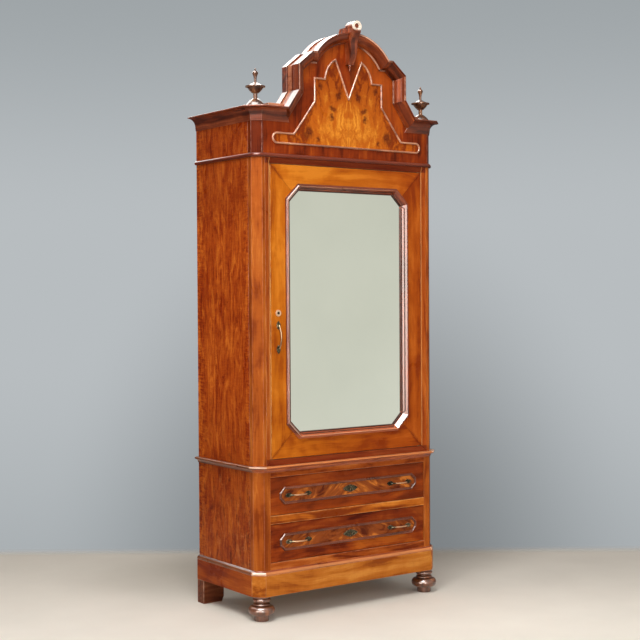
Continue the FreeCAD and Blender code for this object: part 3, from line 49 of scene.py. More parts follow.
ahead = Vector((math.sin(CAMERA_TURN) * math.cos(CAMERA_TILT),
                math.cos(CAMERA_TURN) * math.cos(CAMERA_TILT), math.sin(CAMERA_TILT)))
level_right = Vector((math.cos(CAMERA_TURN), -math.sin(CAMERA_TURN), 0))
level_up = level_right.cross(ahead)
camera_right = level_right * math.cos(CAMERA_LEAN) + level_up * math.sin(CAMERA_LEAN)
camera_up = level_up * math.cos(CAMERA_LEAN) - level_right * math.sin(CAMERA_LEAN)
camera = bpy.data.objects.new("camera", bpy.data.cameras.new("camera"))
camera.data.lens = LENS_LENGTH
camera.data.sensor_width = FILM_WIDTH
scene.collection.objects.link(camera)
camera.matrix_world = (Matrix.Translation(CAMERA_PLACE)
                       @ Matrix((camera_right, camera_up, -ahead)).transposed().to_4x4())
scene.camera = camera


# Studio: pale grey paper with a soft shadow behind the case. The polish and the mirror see pale
# boards and bright soft boxes in front of the case instead. Two lamps light it, and two more
# high up only put a sheen on its polish.
def tone(red, green, blue):
    levels = [shade / 255 for shade in (red, green, blue)]
    return (*[level / 12.92 if level <= 0.04045 else ((level + 0.055) / 1.055) ** 2.4
              for level in levels], 1)


# A node in a tree. Inputs are a number, a colour or another node's socket, by name or place.
def put(tree, kind, inputs=None, **settings):
    node = tree.nodes.new(kind)
    for key, value in settings.items():
        setattr(node, key, value)
    for socket, value in (inputs or {}).items():
        if isinstance(value, bpy.types.NodeSocket):
            tree.links.new(value, node.inputs[socket])
        else:
            node.inputs[socket].default_value = value
    return node


def calc(tree, operation, *values, clamp=False):
    return put(tree, "ShaderNodeMath", dict(enumerate(values)), operation=operation,
               use_clamp=clamp).outputs[0]


def times(tree, product, *others):
    for other in others:
        product = calc(tree, "MULTIPLY", product, other)
    return product


def size_of(tree, value):
    return calc(tree, "ABSOLUTE", value)


# Sums on places and directions. Some give a place or a direction, and some a plain number.
def arrow(tree, operation, *arrows):
    answer = "Value" if operation in ("DISTANCE", "DOT_PRODUCT", "LENGTH") else "Vector"
    return put(tree, "ShaderNodeVectorMath", dict(enumerate(arrows)),
               operation=operation).outputs[answer]


def soft_step(tree, value, low, high):
    return put(tree, "ShaderNodeMapRange", {"Value": value, "From Min": low, "From Max": high},
               interpolation_type="SMOOTHSTEP").outputs[0]


# 1 in a band round a middle value, fading out from the inner half width to the outer one
def band(tree, value, middle, outer, inner):
    return soft_step(tree, size_of(tree, calc(tree, "SUBTRACT", value, middle)), outer, inner)


def mix(tree, factor, first, second, way="MIX"):
    return put(tree, "ShaderNodeMix", {0: factor, 6: first, 7: second}, data_type="RGBA",
               blend_type=way, clamp_factor=True).outputs[2]


# Lets only a share of each colour through on a part of the surface
def stain(tree, colour, part, *shares):
    return mix(tree, part, colour, mix(tree, 1.0, colour, (*shares, 1), "MULTIPLY"))


def noise(tree, spot, scale, detail=3.0, roughness=0.5, distortion=0.0):
    return put(tree, "ShaderNodeTexNoise", {
        "Vector": spot, "Scale": scale, "Detail": detail, "Roughness": roughness,
        "Distortion": distortion}).outputs[0]


FILL_COLOUR, FILL_STRENGTH = (1, 0.97, 0.93, 1), 0.5
PAPER, PAPER_FAR = tone(184, 189, 192), tone(158, 164, 167)
BEHIND_CASE = tuple((ahead + camera_right * 0.023 - camera_up * 0.169).normalized())
CASE_SHAPE, SHADOW_REACH, SHADOW_CORE = (1, 1, 0.85), 0.235, 0.046
BOARD, WARM_BOARD = tone(240, 238, 232), tone(234, 226, 212)

world = bpy.data.worlds.new("studio")
scene.world = world
world.use_nodes = True
studio = world.node_tree
studio.nodes.clear()
path = put(studio, "ShaderNodeLightPath").outputs
heading = put(studio, "ShaderNodeTexCoord").outputs["Generated"]
heading_x, heading_y, heading_z = put(studio, "ShaderNodeSeparateXYZ", {0: heading}).outputs
far_paper = calc(studio, "MAXIMUM", calc(studio, "SUBTRACT", heading_z, 0.02),
                 calc(studio, "MULTIPLY", heading_z, -0.7))
paper = mix(studio, soft_step(studio, far_paper, 0.03, 0.22), PAPER, PAPER_FAR)
off_case = arrow(studio, "MULTIPLY", arrow(studio, "SUBTRACT", heading, BEHIND_CASE), CASE_SHAPE)
paper = stain(studio, paper, soft_step(
    studio, arrow(studio, "LENGTH", off_case), SHADOW_REACH, SHADOW_CORE), 0.5, 0.505, 0.51)


# 1 in the directions of a bright box with soft edges
def soft_box(middle_x, middle_z, outer, inner):
    return times(studio, band(studio, heading_x, middle_x, outer[0], inner[0]),
                 band(studio, heading_z, middle_z, outer[1], inner[1]))


boards = mix(studio, soft_step(studio, heading_z, -0.1, 0.08), tone(221, 222, 208),
             tone(213, 214, 200))
for direction, start, end, board in ((heading_z, 0.13, 0.2, BOARD), (heading_x, 0.5, 0.42, BOARD),
                                     (heading_x, 0.64, 0.69, WARM_BOARD)):
    boards = mix(studio, soft_step(studio, direction, start, end), boards, board)
boards = stain(studio, boards, soft_step(studio, noise(studio, heading, 7), 0.65, 0.35),
               0.94, 0.94, 0.935)
boards = mix(studio, soft_box(-0.42, 0, (0.09, 0.5), (0.05, 0.4)), boards, (20, 18.5, 17, 1))
boards = mix(studio, soft_box(-0.74, 0.42, (0.2, 0.2), (0.12, 0.14)), boards, (14, 13, 12, 1))
dim = mix(studio, soft_step(studio, heading_z, 0.3, 0.8), tone(66, 66, 66), tone(150, 150, 146))
mirrored = mix(studio, soft_step(studio, heading_y, -0.2, -0.45), dim, boards)
side_box = times(studio, soft_box(-0.95, 0, (0.075, 0.35), (0.045, 0.25)),
                 soft_step(studio, heading_y, -0.12, -0.2))
mirrored = mix(studio, side_box, mirrored, (16, 15, 13.6, 1))
seen = calc(studio, "MAXIMUM", path["Is Camera Ray"], calc(
    studio, "MAXIMUM", path["Is Glossy Ray"], path["Is Transmission Ray"]))
fill = put(studio, "ShaderNodeBackground", {"Color": FILL_COLOUR, "Strength": FILL_STRENGTH})
around = put(studio, "ShaderNodeBackground", {"Strength": 1, "Color": mix(
    studio, path["Is Glossy Ray"], paper, mirrored)})
both = put(studio, "ShaderNodeMixShader", {0: seen, 1: fill.outputs[0], 2: around.outputs[0]})
put(studio, "ShaderNodeOutputWorld", {0: both.outputs[0]})

LAMP_COLOUR = (1, 0.97, 0.935)
for name, place, target, wide, high, power, sheen_only in (
        ("overhead_light", (-2.0, -1.7, 4.6), (-0.1, 0, 1.2), 2.0, 2.0, 138, False),
        ("front_light", (-2.7, -5.8, 2.5), (0, 0, 1.0), 2.2, 2.2, 100, False),
        ("rear_sheen", (0.6, 3.4, 5.0), (0, -0.1, 2.4), 5.0, 3.6, 420, True),
        ("ceiling_sheen", (-1.5, -1.0, 4.7), (0, -0.1, 1.0), 2.8, 2.8, 620, True)):
    lamp = bpy.data.lights.new(name, "AREA")
    lamp.shape = "RECTANGLE"
    lamp.size, lamp.size_y = wide, high
    lamp.energy = power
    lamp.color = LAMP_COLOUR
    holder = bpy.data.objects.new(name, lamp)
    holder.visible_diffuse = not sheen_only
    scene.collection.objects.link(holder)
    holder.matrix_world = (Matrix.Translation(place) @ (Vector(target) - Vector(place))
                           .to_track_quat("-Z", "Y").to_matrix().to_4x4())


# Floor: a plain pale sheet of cement. It fades out along a straight line behind the wardrobe,
# square to the camera's heading, and two soft shadows lie in its paint.
def spot_in(tree):
    return put(tree, "ShaderNodeTexCoord").outputs["Object"]


FLOOR_START, FLOOR_END, FLOOR_HALF = -1.0, 7.3, 4.6
FADE_START, FADE_END = 7.02, 7.26
FLOOR_SHADES = ((-0.2, 0.75, 0.85), (1.15, 0.6, 0.7))
SHADED_FLOOR = (0.72, 0.71, 0.7)

heading_flat = Vector((math.sin(CAMERA_TURN), math.cos(CAMERA_TURN), 0))
under_camera = Vector((*CAMERA_PLACE[:2], 0))
floor_mesh = bpy.data.meshes.new("floor")
sheet = bmesh.new()
sheet.faces.new([sheet.verts.new(under_camera + heading_flat * reach + level_right * across)
                 for reach, across in ((FLOOR_START, -FLOOR_HALF), (FLOOR_START, FLOOR_HALF),
                                       (FLOOR_END, FLOOR_HALF), (FLOOR_END, -FLOOR_HALF))])
sheet.to_mesh(floor_mesh)
sheet.free()
floor = bpy.data.objects.new("floor", floor_mesh)
scene.collection.objects.link(floor)
floor_paint = bpy.data.materials.new("pale_floor")
floor_paint.use_nodes = True
paint = floor_paint.node_tree
paint.nodes.clear()
spot = spot_in(paint)
reach = calc(paint, "SUBTRACT", arrow(paint, "DOT_PRODUCT", spot, tuple(heading_flat)),
             under_camera.dot(heading_flat))
cement = mix(paint, noise(paint, spot, 3.0, 6), tone(224, 219, 210), tone(238, 233, 224))
# Painted shade: the cement darkens towards the far end of the sheet.
cement = stain(paint, cement, soft_step(paint, reach, 5.2, 7.2), *SHADED_FLOOR)
for shade_x, shade_y, wide in FLOOR_SHADES:
    far = arrow(paint, "DISTANCE", spot, (shade_x, shade_y, 0))
    cement = stain(paint, cement, soft_step(paint, far, wide, 0.05), *SHADED_FLOOR)
matt = put(paint, "ShaderNodeBsdfDiffuse", {"Color": cement})
clear = put(paint, "ShaderNodeBsdfTransparent")
faded = put(paint, "ShaderNodeMixShader", {
    0: soft_step(paint, reach, FADE_START, FADE_END), 1: matt.outputs[0], 2: clear.outputs[0]})
put(paint, "ShaderNodeOutputMaterial", {0: faded.outputs[0]})
floor_mesh.materials.append(floor_paint)


# Front feet: buns of walnut turned on a lathe, stained dark and polished, and screwed up into
# the plinth's front corners.
def new_group(name, inputs, outputs):
    tree = bpy.data.node_groups.new(name, "ShaderNodeTree")
    for side, sockets in (("INPUT", inputs), ("OUTPUT", outputs)):
        for label, kind in sockets:
            tree.interface.new_socket(name=label, in_out=side, socket_type="NodeSocket" + kind)
    return (tree, tree.nodes.new("NodeGroupInput").outputs,
            tree.nodes.new("NodeGroupOutput").inputs)


def stretch(tree, spot, factors):
    return arrow(tree, "MULTIPLY", spot, factors)


def swing(tree, value, amount):
    return calc(tree, "MULTIPLY", calc(tree, "SUBTRACT", value, 0.5), amount)


# Noise that pushes a place to and fro in all three directions, about nothing
def wander(tree, spot, scale, detail):
    swirl = put(tree, "ShaderNodeTexNoise", {"Vector": spot, "Scale": scale, "Detail": detail})
    return arrow(tree, "SUBTRACT", swirl.outputs["Color"], (0.5, 0.5, 0.5))


# Figure of a board along its first coordinate: streaks, growth rings, clouds, ripple and pores
figure, given, result = new_group(
    "walnut_figure",
    [("Grain", "Vector"), ("Dark", "Color"), ("Middle", "Color"), ("Light", "Color"),
     ("Streaks", "Float"), ("Rings", "Float"), ("Clouds", "Float"), ("Ripple", "Float"),
     ("Wear_and_highlight", "Float"), ("Worn_and_highlight", "Color"), ("Joint", "Float")],
    [("Color", "Color"), ("Roughness", "Float"), ("Height", "Float")])
bend = stretch(figure, wander(figure, given["Grain"], 2.3, 2), (0.08, 0.07, 0.07))
run = arrow(figure, "ADD", given["Grain"], bend)
across = put(figure, "ShaderNodeCombineXYZ", {0: 1.3, 1: given["Streaks"], 2: given["Streaks"]})
streak = noise(figure, stretch(figure, run, across.outputs[0]), 1, 8, 0.62, 0.3)
fine = noise(figure, stretch(figure, run, (10, 380, 380)), 1, 2)
cloud = noise(figure, stretch(figure, given["Grain"], (4.5, 8, 8)), 1, 3, 0.55, 0.6)
ripple = noise(figure, stretch(figure, run, (120, 24, 24)), 1, 2, 0.6)
growth = noise(figure, stretch(figure, run, (0.7, 5, 5)), 1, 1)
ring = times(figure, calc(figure, "PINGPONG", times(figure, growth, 11), 0.5), 2)
depth = calc(figure, "ADD", streak, swing(figure, fine, 0.16))
depth = calc(figure, "ADD", depth, swing(figure, cloud, given["Clouds"]))
depth = calc(figure, "ADD", depth, swing(figure, ripple, given["Ripple"]))
depth = calc(figure, "SUBTRACT", depth, times(figure, soft_step(figure, ring, 0.55, 1),
                                              given["Rings"]))
stained = mix(figure, soft_step(figure, depth, 0.30, 0.52), given["Dark"], given["Middle"])
stained = mix(figure, soft_step(figure, depth, 0.50, 0.72), stained, given["Light"])
pore = soft_step(figure, noise(figure, stretch(figure, run, (55, 1300, 1300)), 1, 1), 0.62, 0.72)
stained = mix(figure, times(figure, pore, 0.35), stained, given["Dark"])
# Rubbed arrises turn pale: this is wear, and also a painted highlight along the edges.
rub = noise(figure, stretch(figure, given["Grain"], (40, 40, 40)), 1, 3)
pale_mark = times(figure, given["Wear_and_highlight"], soft_step(figure, rub, 0.25, 0.65))
shown = mix(figure, pale_mark, stained, given["Worn_and_highlight"])
shut = mix(figure, 1.0, given["Dark"], (0.25, 0.18, 0.15, 1), "MULTIPLY")
figure.links.new(mix(figure, given["Joint"], shown, shut), result["Color"])
dull = calc(figure, "ADD", 0.3, swing(figure, cloud, 0.16))
dull = calc(figure, "ADD", dull, times(figure, pore, 0.15))
figure.links.new(calc(figure, "ADD", dull, times(figure, given["Joint"], 0.4)),
                 result["Roughness"])
figure.links.new(calc(figure, "SUBTRACT", times(figure, streak, 0.4), pore), result["Height"])


# The finish of wood or metal. Its figure runs along the "grain" attribute of each piece; "edge"
# marks rubbed arrises with 1 and closed joints with -1. Shade, ripple and coat may go by place.
# The pale colour of rubbed arrises is wear, and also a painted highlight along the edges.
def finish(name, dark, middle, light, worn_and_highlight=(222, 176, 140), streaks=28, rings=0.08, clouds=0.35,
           ripple=0.08, wear_and_highlight=0.6, gloss=0.08, coat=0.0, edge_coat=0.6, relief=0.0004, shade=None,
           metallic=0.0):
    material = bpy.data.materials.new(name)
    material.use_nodes = True
    tree = material.node_tree
    tree.nodes.clear()
    grain = put(tree, "ShaderNodeAttribute", attribute_name="grain").outputs["Vector"]
    edge = put(tree, "ShaderNodeAttribute", attribute_name="edge").outputs["Fac"]
    arris = calc(tree, "MAXIMUM", edge, 0)
    wood = put(tree, "ShaderNodeGroup", {
        "Grain": grain, "Dark": tone(*dark), "Middle": tone(*middle), "Light": tone(*light),
        "Worn_and_highlight": tone(*worn_and_highlight), "Streaks": streaks, "Rings": rings, "Clouds": clouds,
        "Ripple": ripple(tree) if callable(ripple) else ripple,
        "Wear_and_highlight": times(tree, arris, wear_and_highlight),
        "Joint": calc(tree, "MULTIPLY", edge, -1, clamp=True)}, node_tree=figure)
    bump = put(tree, "ShaderNodeBump", {"Height": wood.outputs["Height"], "Strength": 0.35,
                                        "Distance": relief})
    polish = put(tree, "ShaderNodeBsdfPrincipled", {
        "Base Color": shade(tree, wood.outputs["Color"]) if shade else wood.outputs["Color"],
        "Roughness": wood.outputs["Roughness"], "Normal": bump.outputs[0], "Metallic": metallic,
        "Specular IOR Level": gloss, "Coat Roughness": 0.12, "IOR": 1.5,
        "Coat Weight": calc(tree, "MULTIPLY_ADD", arris, edge_coat,
                            coat(tree) if callable(coat) else coat)})
    put(tree, "ShaderNodeOutputMaterial", {0: polish.outputs[0]})
    return material


MERGE_DISTANCE = 2e-6


# A turned shape from its outline, pairs of radius and height, as a full spin round an axis
def turned(shape, outline, x, y, steps=56):
    rail = [shape.verts.new((x + radius, y, height)) for radius, height in outline]
    lines = [shape.edges.new(pair) for pair in zip(rail, rail[1:])]
    bmesh.ops.spin(shape, geom=rail + lines, cent=(x, y, 0), axis=(0, 0, 1),
                   angle=2 * math.pi, steps=steps, use_merge=True)
    bmesh.ops.remove_doubles(shape, verts=shape.verts, dist=MERGE_DISTANCE)


def swell(radius, low, high, bulge, parts=8):
    turns = [math.pi * step / parts for step in range(parts + 1)]
    return [(radius + bulge * math.sin(turn), (low + high - (high - low) * math.cos(turn)) / 2)
            for turn in turns]


# Rounds the arrises of a shape and marks them in "edge". Chosen picks edges by their faces.
def ease(shape, width, sharp=32, least=0.0015, steps=2, mark=1.0, chosen=None):
    layer = shape.faces.layers.float.get("edge") or shape.faces.layers.float.new("edge")
    if not width:
        return
    arrises = [edge for edge in shape.edges if len(edge.link_faces) == 2
               and edge.calc_face_angle(0) > math.radians(sharp)
               and edge.calc_length() > least
               and not any(face[layer] for face in edge.link_faces)
               and (chosen is None or any(chosen(face.normal) for face in edge.link_faces))]
    eased = bmesh.ops.bevel(shape, geom=arrises, offset=width, segments=steps, profile=0.5,
                            affect="EDGES", material=-1, clamp_overlap=True)
    for face in eased["faces"]:
        face[layer] = mark


def grain_layer(shape):
    return shape.verts.layers.float_vector.get("grain") or shape.verts.layers.float_vector.new(
        "grain")


# Starts each solid at its own place in the figure, so that no two boards look alike
def own_figure(number):
    return Vector((number * 1.73, number * 0.91, number * 0.57))


# Lays the grain along a direction, or along the longest edge, with its own figure per piece.
def lay_grain(shape, number, along=None):
    layer = grain_layer(shape)
    if along is None:
        longest = max(shape.edges, key=lambda edge: edge.calc_length())
        along = (longest.verts[1].co - longest.verts[0].co).normalized()
    way = Vector(along)
    if max(way, key=abs) < 0:
        way = -way
    side = way.orthogonal().normalized()
    face = way.cross(side)
    for corner in shape.verts:
        place = corner.co
        corner[layer] = (Vector((place.dot(way), place.dot(side), place.dot(face)))
                         + own_figure(number))


def finish_piece(name, shape, material, body, slot, *replaced, smooth=50):
    for face in shape.faces:
        face.smooth = True
    for edge in shape.edges:
        edge.smooth = edge.calc_face_angle(0) < math.radians(smooth)
    mesh = bpy.data.meshes.new(name)
    shape.to_mesh(mesh)
    shape.free()
    mesh.materials.append(material)
    piece = bpy.data.objects.new(name, mesh)
    scene.collection.objects.link(piece)
    piece.modifiers.new("flat_faces", "WEIGHTED_NORMAL").keep_sharp = True
    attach(piece, body)
    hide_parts(*replaced)


UPRIGHT, SIDEWAYS = (0, 0, 1), (1, 0, 0)
FRONT_FOOT_X, FRONT_FOOT_Y = 0.460, -0.1775
foot_polish = finish("turned_foot_polish", (66, 32, 15), (110, 60, 32), (160, 100, 60),
                     streaks=60, clouds=0.4, gloss=0.8, coat=0.7)
foot_outline = [(0, 0), (0.031, 0), (0.0325, 0.002), (0.0325, 0.026), *swell(
    0.042, 0.0265, 0.065, 0.0165, 12), (0.030, 0.0655), *swell(0.032, 0.067, 0.076, 0.005),
    (0.027, 0.078), (0.026, 0.081), *swell(0.033, 0.083, 0.099, 0.0065, 10), (0.036, 0.101),
    (0.036, 0.108), (0, 0.108)]
feet = bmesh.new()
for foot_x in (-FRONT_FOOT_X, FRONT_FOOT_X):
    turned(feet, foot_outline, foot_x, FRONT_FOOT_Y)
bmesh.ops.recalc_face_normals(feet, faces=feet.faces)
ease(feet, 0)
lay_grain(feet, 5, UPRIGHT)
finish_piece("front_feet_turned", feet, foot_polish, "case", "moulding_walnut", "front_feet")


# Rear feet: blocks sawn from walnut, cut back at their inner ends, stained but never polished,
# and glued under the plinth's rear corners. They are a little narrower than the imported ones.

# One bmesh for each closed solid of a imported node, merged and with its flat faces made whole
def solids_of(node):
    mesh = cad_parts[node].data
    spots = [tuple(round(c, 6) for c in corner.co) for corner in mesh.vertices]
    groups, current, unmatched = [], set(), {}
    for face in mesh.polygons:
        corners = [spots[index] for index in face.vertices]
        current.add(face.index)
        for start, end in zip(corners, corners[1:] + corners[:1]):
            if start == end:
                continue
            if (end, start) in unmatched:
                unmatched[end, start] -= 1
                if not unmatched[end, start]:
                    del unmatched[end, start]
            else:
                unmatched[start, end] = unmatched.get((start, end), 0) + 1
        if not unmatched:
            groups.append(current)
            current = set()
    for group in groups:
        solid = bmesh.new()
        solid.from_mesh(mesh)
        solid.faces.ensure_lookup_table()
        bmesh.ops.delete(solid, geom=[face for face in solid.faces if face.index not in group],
                         context="FACES")
        bmesh.ops.remove_doubles(solid, verts=solid.verts, dist=MERGE_DISTANCE)
        bmesh.ops.dissolve_limit(solid, angle_limit=math.radians(0.5), verts=solid.verts,
                                 edges=solid.edges)
        yield solid


def join(whole, solid):
    held = bpy.data.meshes.new("held")
    solid.to_mesh(held)
    solid.free()
    whole.from_mesh(held)
    bpy.data.meshes.remove(held)


REAR_FOOT_OUTER, REAR_FOOT_SHARE = 0.5115, 0.87
sawn_block = finish("sawn_foot_wood", (72, 32, 18), (108, 56, 32), (140, 84, 56),
                    worn_and_highlight=(190, 150, 124), streaks=30, clouds=0.5, gloss=0.1, relief=0.001)
blocks = bmesh.new()
for block in solids_of("rear_feet"):
    outer = max(abs(corner.co.x) for corner in block.verts)
    for corner in block.verts:
        reach = REAR_FOOT_OUTER - (outer - abs(corner.co.x)) * REAR_FOOT_SHARE
        corner.co.x = math.copysign(reach, corner.co.x)
    ease(block, 0.0025, steps=3)
    lay_grain(block, 7, SIDEWAYS)
    join(blocks, block)
finish_piece("rear_feet_sawn", blocks, sawn_block, "case", "sawn_foot", "rear_feet")


# Plinth: walnut boards glued to canted corner blocks, with a poplar rail behind and a rounded
# strip on the ledge above. A painted highlight runs along the noses of the mouldings, golden on
# the front and pale on the cants, and painted shade darkens their side runs.
JOINT_WIDTH = 0.0005


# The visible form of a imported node: each solid eased and grained, in one piece
def dress(node, material, slot, body="case", width=0.0008, along=None, sharp=32, least=0.0015,
          steps=2, stuff="wood", lay=lay_grain, joint=None):
    whole = bmesh.new()
    number = sum(map(ord, node)) % 89
    for solid in solids_of(node):
        if joint:
            ease(solid, JOINT_WIDTH, sharp, least, 1, -1.0, joint)
        ease(solid, width, sharp, least, steps)
        lay(solid, number, along)
        number += 1
        join(whole, solid)
    finish_piece(f"{node}_{stuff}", whole, material, body, slot, node)


# The case's outline in plan, which the grain of its mouldings follows
CASE_OUTLINE = [Vector(corner) for corner in (
    (-0.5, 0.2815), (-0.5, -0.1785), (-0.466, -0.2125), (0.466, -0.2125), (0.5, -0.1785),
    (0.5, 0.2815))]


def wrap_grain(shape, number, along=None):
    layer = grain_layer(shape)
    for corner in shape.verts:
        spot = corner.co.to_2d()
        nearest, run_before = None, 0.0
        for start, end in zip(CASE_OUTLINE, CASE_OUTLINE[1:]):
            side = end - start
            share = min(1, max(0, (spot - start).dot(side) / side.length_squared))
            reach = (spot - start - side * share).length
            if nearest is None or reach < nearest[1]:
                nearest = (run_before + share * side.length, reach)
            run_before += side.length
        corner[layer] = Vector((*nearest, corner.co.z)) + own_figure(number)


def mitre_in_plan(normal):
    return abs(normal.z) < 0.1 and 0.3 < min(abs(normal.x), abs(normal.y)) < 0.45


# Where a point of the surface lies, in metres, along each of the named axes
def place_in(tree, axes):
    parts = put(tree, "ShaderNodeSeparateXYZ", {0: spot_in(tree)}).outputs
    return [parts[axis] for axis in axes]


WAIST_NOSE, PLINTH_NOSE = (0.6685, 0.0045), (0.2085, 0.0075)


def painted_light_on_mouldings(tree, colour):
    x, y, z = place_in(tree, "XYZ")
    # Painted shade: the side runs are darker and less red than the front.
    colour = stain(tree, colour, soft_step(tree, y, -0.2, -0.16), 0.55, 0.7, 0.9)
    # Painted highlight: a golden line along each nose on the front, pale on the cants.
    cant = times(tree, soft_step(tree, size_of(tree, x), 0.463, 0.467),
                 soft_step(tree, y, -0.176, -0.18))
    gold = mix(tree, cant, tone(222, 140, 76), tone(244, 206, 176))
    front = calc(tree, "MULTIPLY_ADD", soft_step(tree, y, -0.172, -0.178), 0.55, 0.1)
    for height, half in (WAIST_NOSE, PLINTH_NOSE):
        nose = band(tree, z, height, half, half * 0.6)
        colour = mix(tree, times(tree, nose, front), colour, gold)
    return colour


plinth_polish = finish("plinth_walnut_polish", (140, 66, 16), (184, 106, 34), (206, 134, 56),
                       worn_and_highlight=(214, 150, 96), clouds=0.6, wear_and_highlight=0.3, edge_coat=0.1)
plinth_side_polish = finish("plinth_side_walnut_polish", (112, 36, 8), (150, 66, 16),
                            (178, 92, 30), worn_and_highlight=(190, 120, 76), clouds=0.6, gloss=0.06, wear_and_highlight=0.3,
                            edge_coat=0.1)
lining = finish("lining_poplar", (160, 124, 84), (186, 150, 108), (204, 170, 128),
                worn_and_highlight=(206, 174, 132), streaks=26, clouds=0.3, gloss=0.12, edge_coat=0,
                relief=0.0008)
front_moulding_polish = finish("wrapped_moulding_polish", (88, 30, 8), (144, 62, 20),
                               (190, 100, 42), worn_and_highlight=(238, 178, 118), streaks=60, clouds=0.5,
                               gloss=0.4, coat=0.35, wear_and_highlight=0.85, shade=painted_light_on_mouldings)
dress("plinth_front", plinth_polish, "case_walnut", width=0.0014)
dress("plinth_sides", plinth_side_polish, "case_walnut", width=0.0014)
dress("plinth_corners", plinth_polish, "case_walnut", width=0.0014, along=SIDEWAYS,
      joint=mitre_in_plan)
dress("plinth_back_rail", lining, "lining_wood")
dress("plinth_moulding", front_moulding_polish, "moulding_walnut", lay=wrap_grain,
      joint=mitre_in_plan)


# Base case: walnut posts with canted edges, sides veneered with figure that curls at their
# edges, and walnut rails glued between the posts, with a poplar back, bottom and runners.
def curl_at_edges(tree):
    x, y = place_in(tree, "XY")
    ends = calc(tree, "MAXIMUM", soft_step(tree, y, -0.10, -0.17), soft_step(tree, y, 0.20, 0.26))
    edges = times(tree, ends, soft_step(tree, size_of(tree, x), 0.44, 0.47))
    return calc(tree, "MULTIPLY_ADD", edges, 1.3, 0.32)


def blotched_veneer_and_painted_sheen(tree, colour):
    spot = spot_in(tree)
    [z] = place_in(tree, "Z")
    low = soft_step(tree, z, 1.05, 0.5)
    blotch = noise(tree, stretch(tree, spot, (8, 24, 7)), 1, 9, 0.78, 1.2)
    colour = stain(tree, colour, soft_step(tree, blotch, 0.52, 0.32), 0.56, 0.4, 0.32)
    colour = mix(tree, times(tree, soft_step(tree, blotch, 0.49, 0.66), 0.7), colour,
                 tone(212, 114, 32))
    ends = calc(tree, "MAXIMUM", low, soft_step(tree, z, 1.6, 1.9))
    colour = stain(tree, colour, ends, 0.78, 0.76, 0.75)
    dark_run = noise(tree, stretch(tree, spot, (8, 44, 12)), 1, 7, 0.75, 1.0)
    colour = stain(tree, colour, times(tree, low, soft_step(tree, dark_run, 0.5, 0.68)),
                   0.42, 0.34, 0.3)
    # Painted sheen: pale streaks low down on the sides.
    painted_sheen = noise(tree, stretch(tree, spot, (9, 34, 9)), 1, 8, 0.75, 1.4)
    painted_sheen = times(tree, soft_step(tree, painted_sheen, 0.52, 0.72), soft_step(tree, z, 0.75, 0.4), 0.6)
    return mix(tree, painted_sheen, colour, tone(208, 134, 70))


MIDDLE_RAIL = 0.435


def bright_middle_rail(tree, colour):
    [z] = place_in(tree, "Z")
    off_rail = size_of(tree, calc(tree, "SUBTRACT", z, MIDDLE_RAIL))
    return stain(tree, colour, soft_step(tree, off_rail, 0.08, 0.14), 0.72, 0.56, 0.7)


side_polish = finish("side_walnut_polish", (140, 46, 6), (166, 68, 11), (188, 92, 22),
                     worn_and_highlight=(190, 150, 134), streaks=90, rings=0.04, clouds=0.6,
                     ripple=curl_at_edges, wear_and_highlight=0.35, shade=blotched_veneer_and_painted_sheen)
post_polish = finish("post_walnut_polish", (126, 52, 11), (162, 80, 23), (188, 106, 40),
                     worn_and_highlight=(200, 140, 104), streaks=40, clouds=0.8, wear_and_highlight=0.25, edge_coat=0.06)
rail_polish = finish("rail_walnut_polish", (124, 50, 9), (184, 98, 26), (222, 142, 56),
                     worn_and_highlight=(230, 164, 100), streaks=34, clouds=0.9, shade=bright_middle_rail)
dress("lower_posts", post_polish, "case_walnut", width=0.0016, along=UPRIGHT, steps=3)
dress("lower_sides", side_polish, "case_walnut", along=UPRIGHT)
dress("lower_back", lining, "lining_wood")
dress("bottom_board", lining, "lining_wood")
# Only long arrises of the rails are rounded, so that the bolts' mortises stay free.
dress("drawer_rails", rail_polish, "case_walnut", width=0.0026, least=0.05, steps=3)
dress("drawer_runners", lining, "lining_wood")

# Drawers: poplar boxes glued to fronts that are veneered with crotch walnut inside raised frames
# with clipped corners, with brass leaves and bow pulls, and locks let in from behind.
LOWER_DRAWER, UPPER_DRAWER = 0.33325, 0.53675
FRAME_HALF, FRAME_RISE, FRAME_CLIP = 0.376, 0.030, 0.381
BOW_X, BOW_FRONT = 0.284, -0.222
DOOR_KEYHOLE = (-0.3832, -0.209, 1.3315)


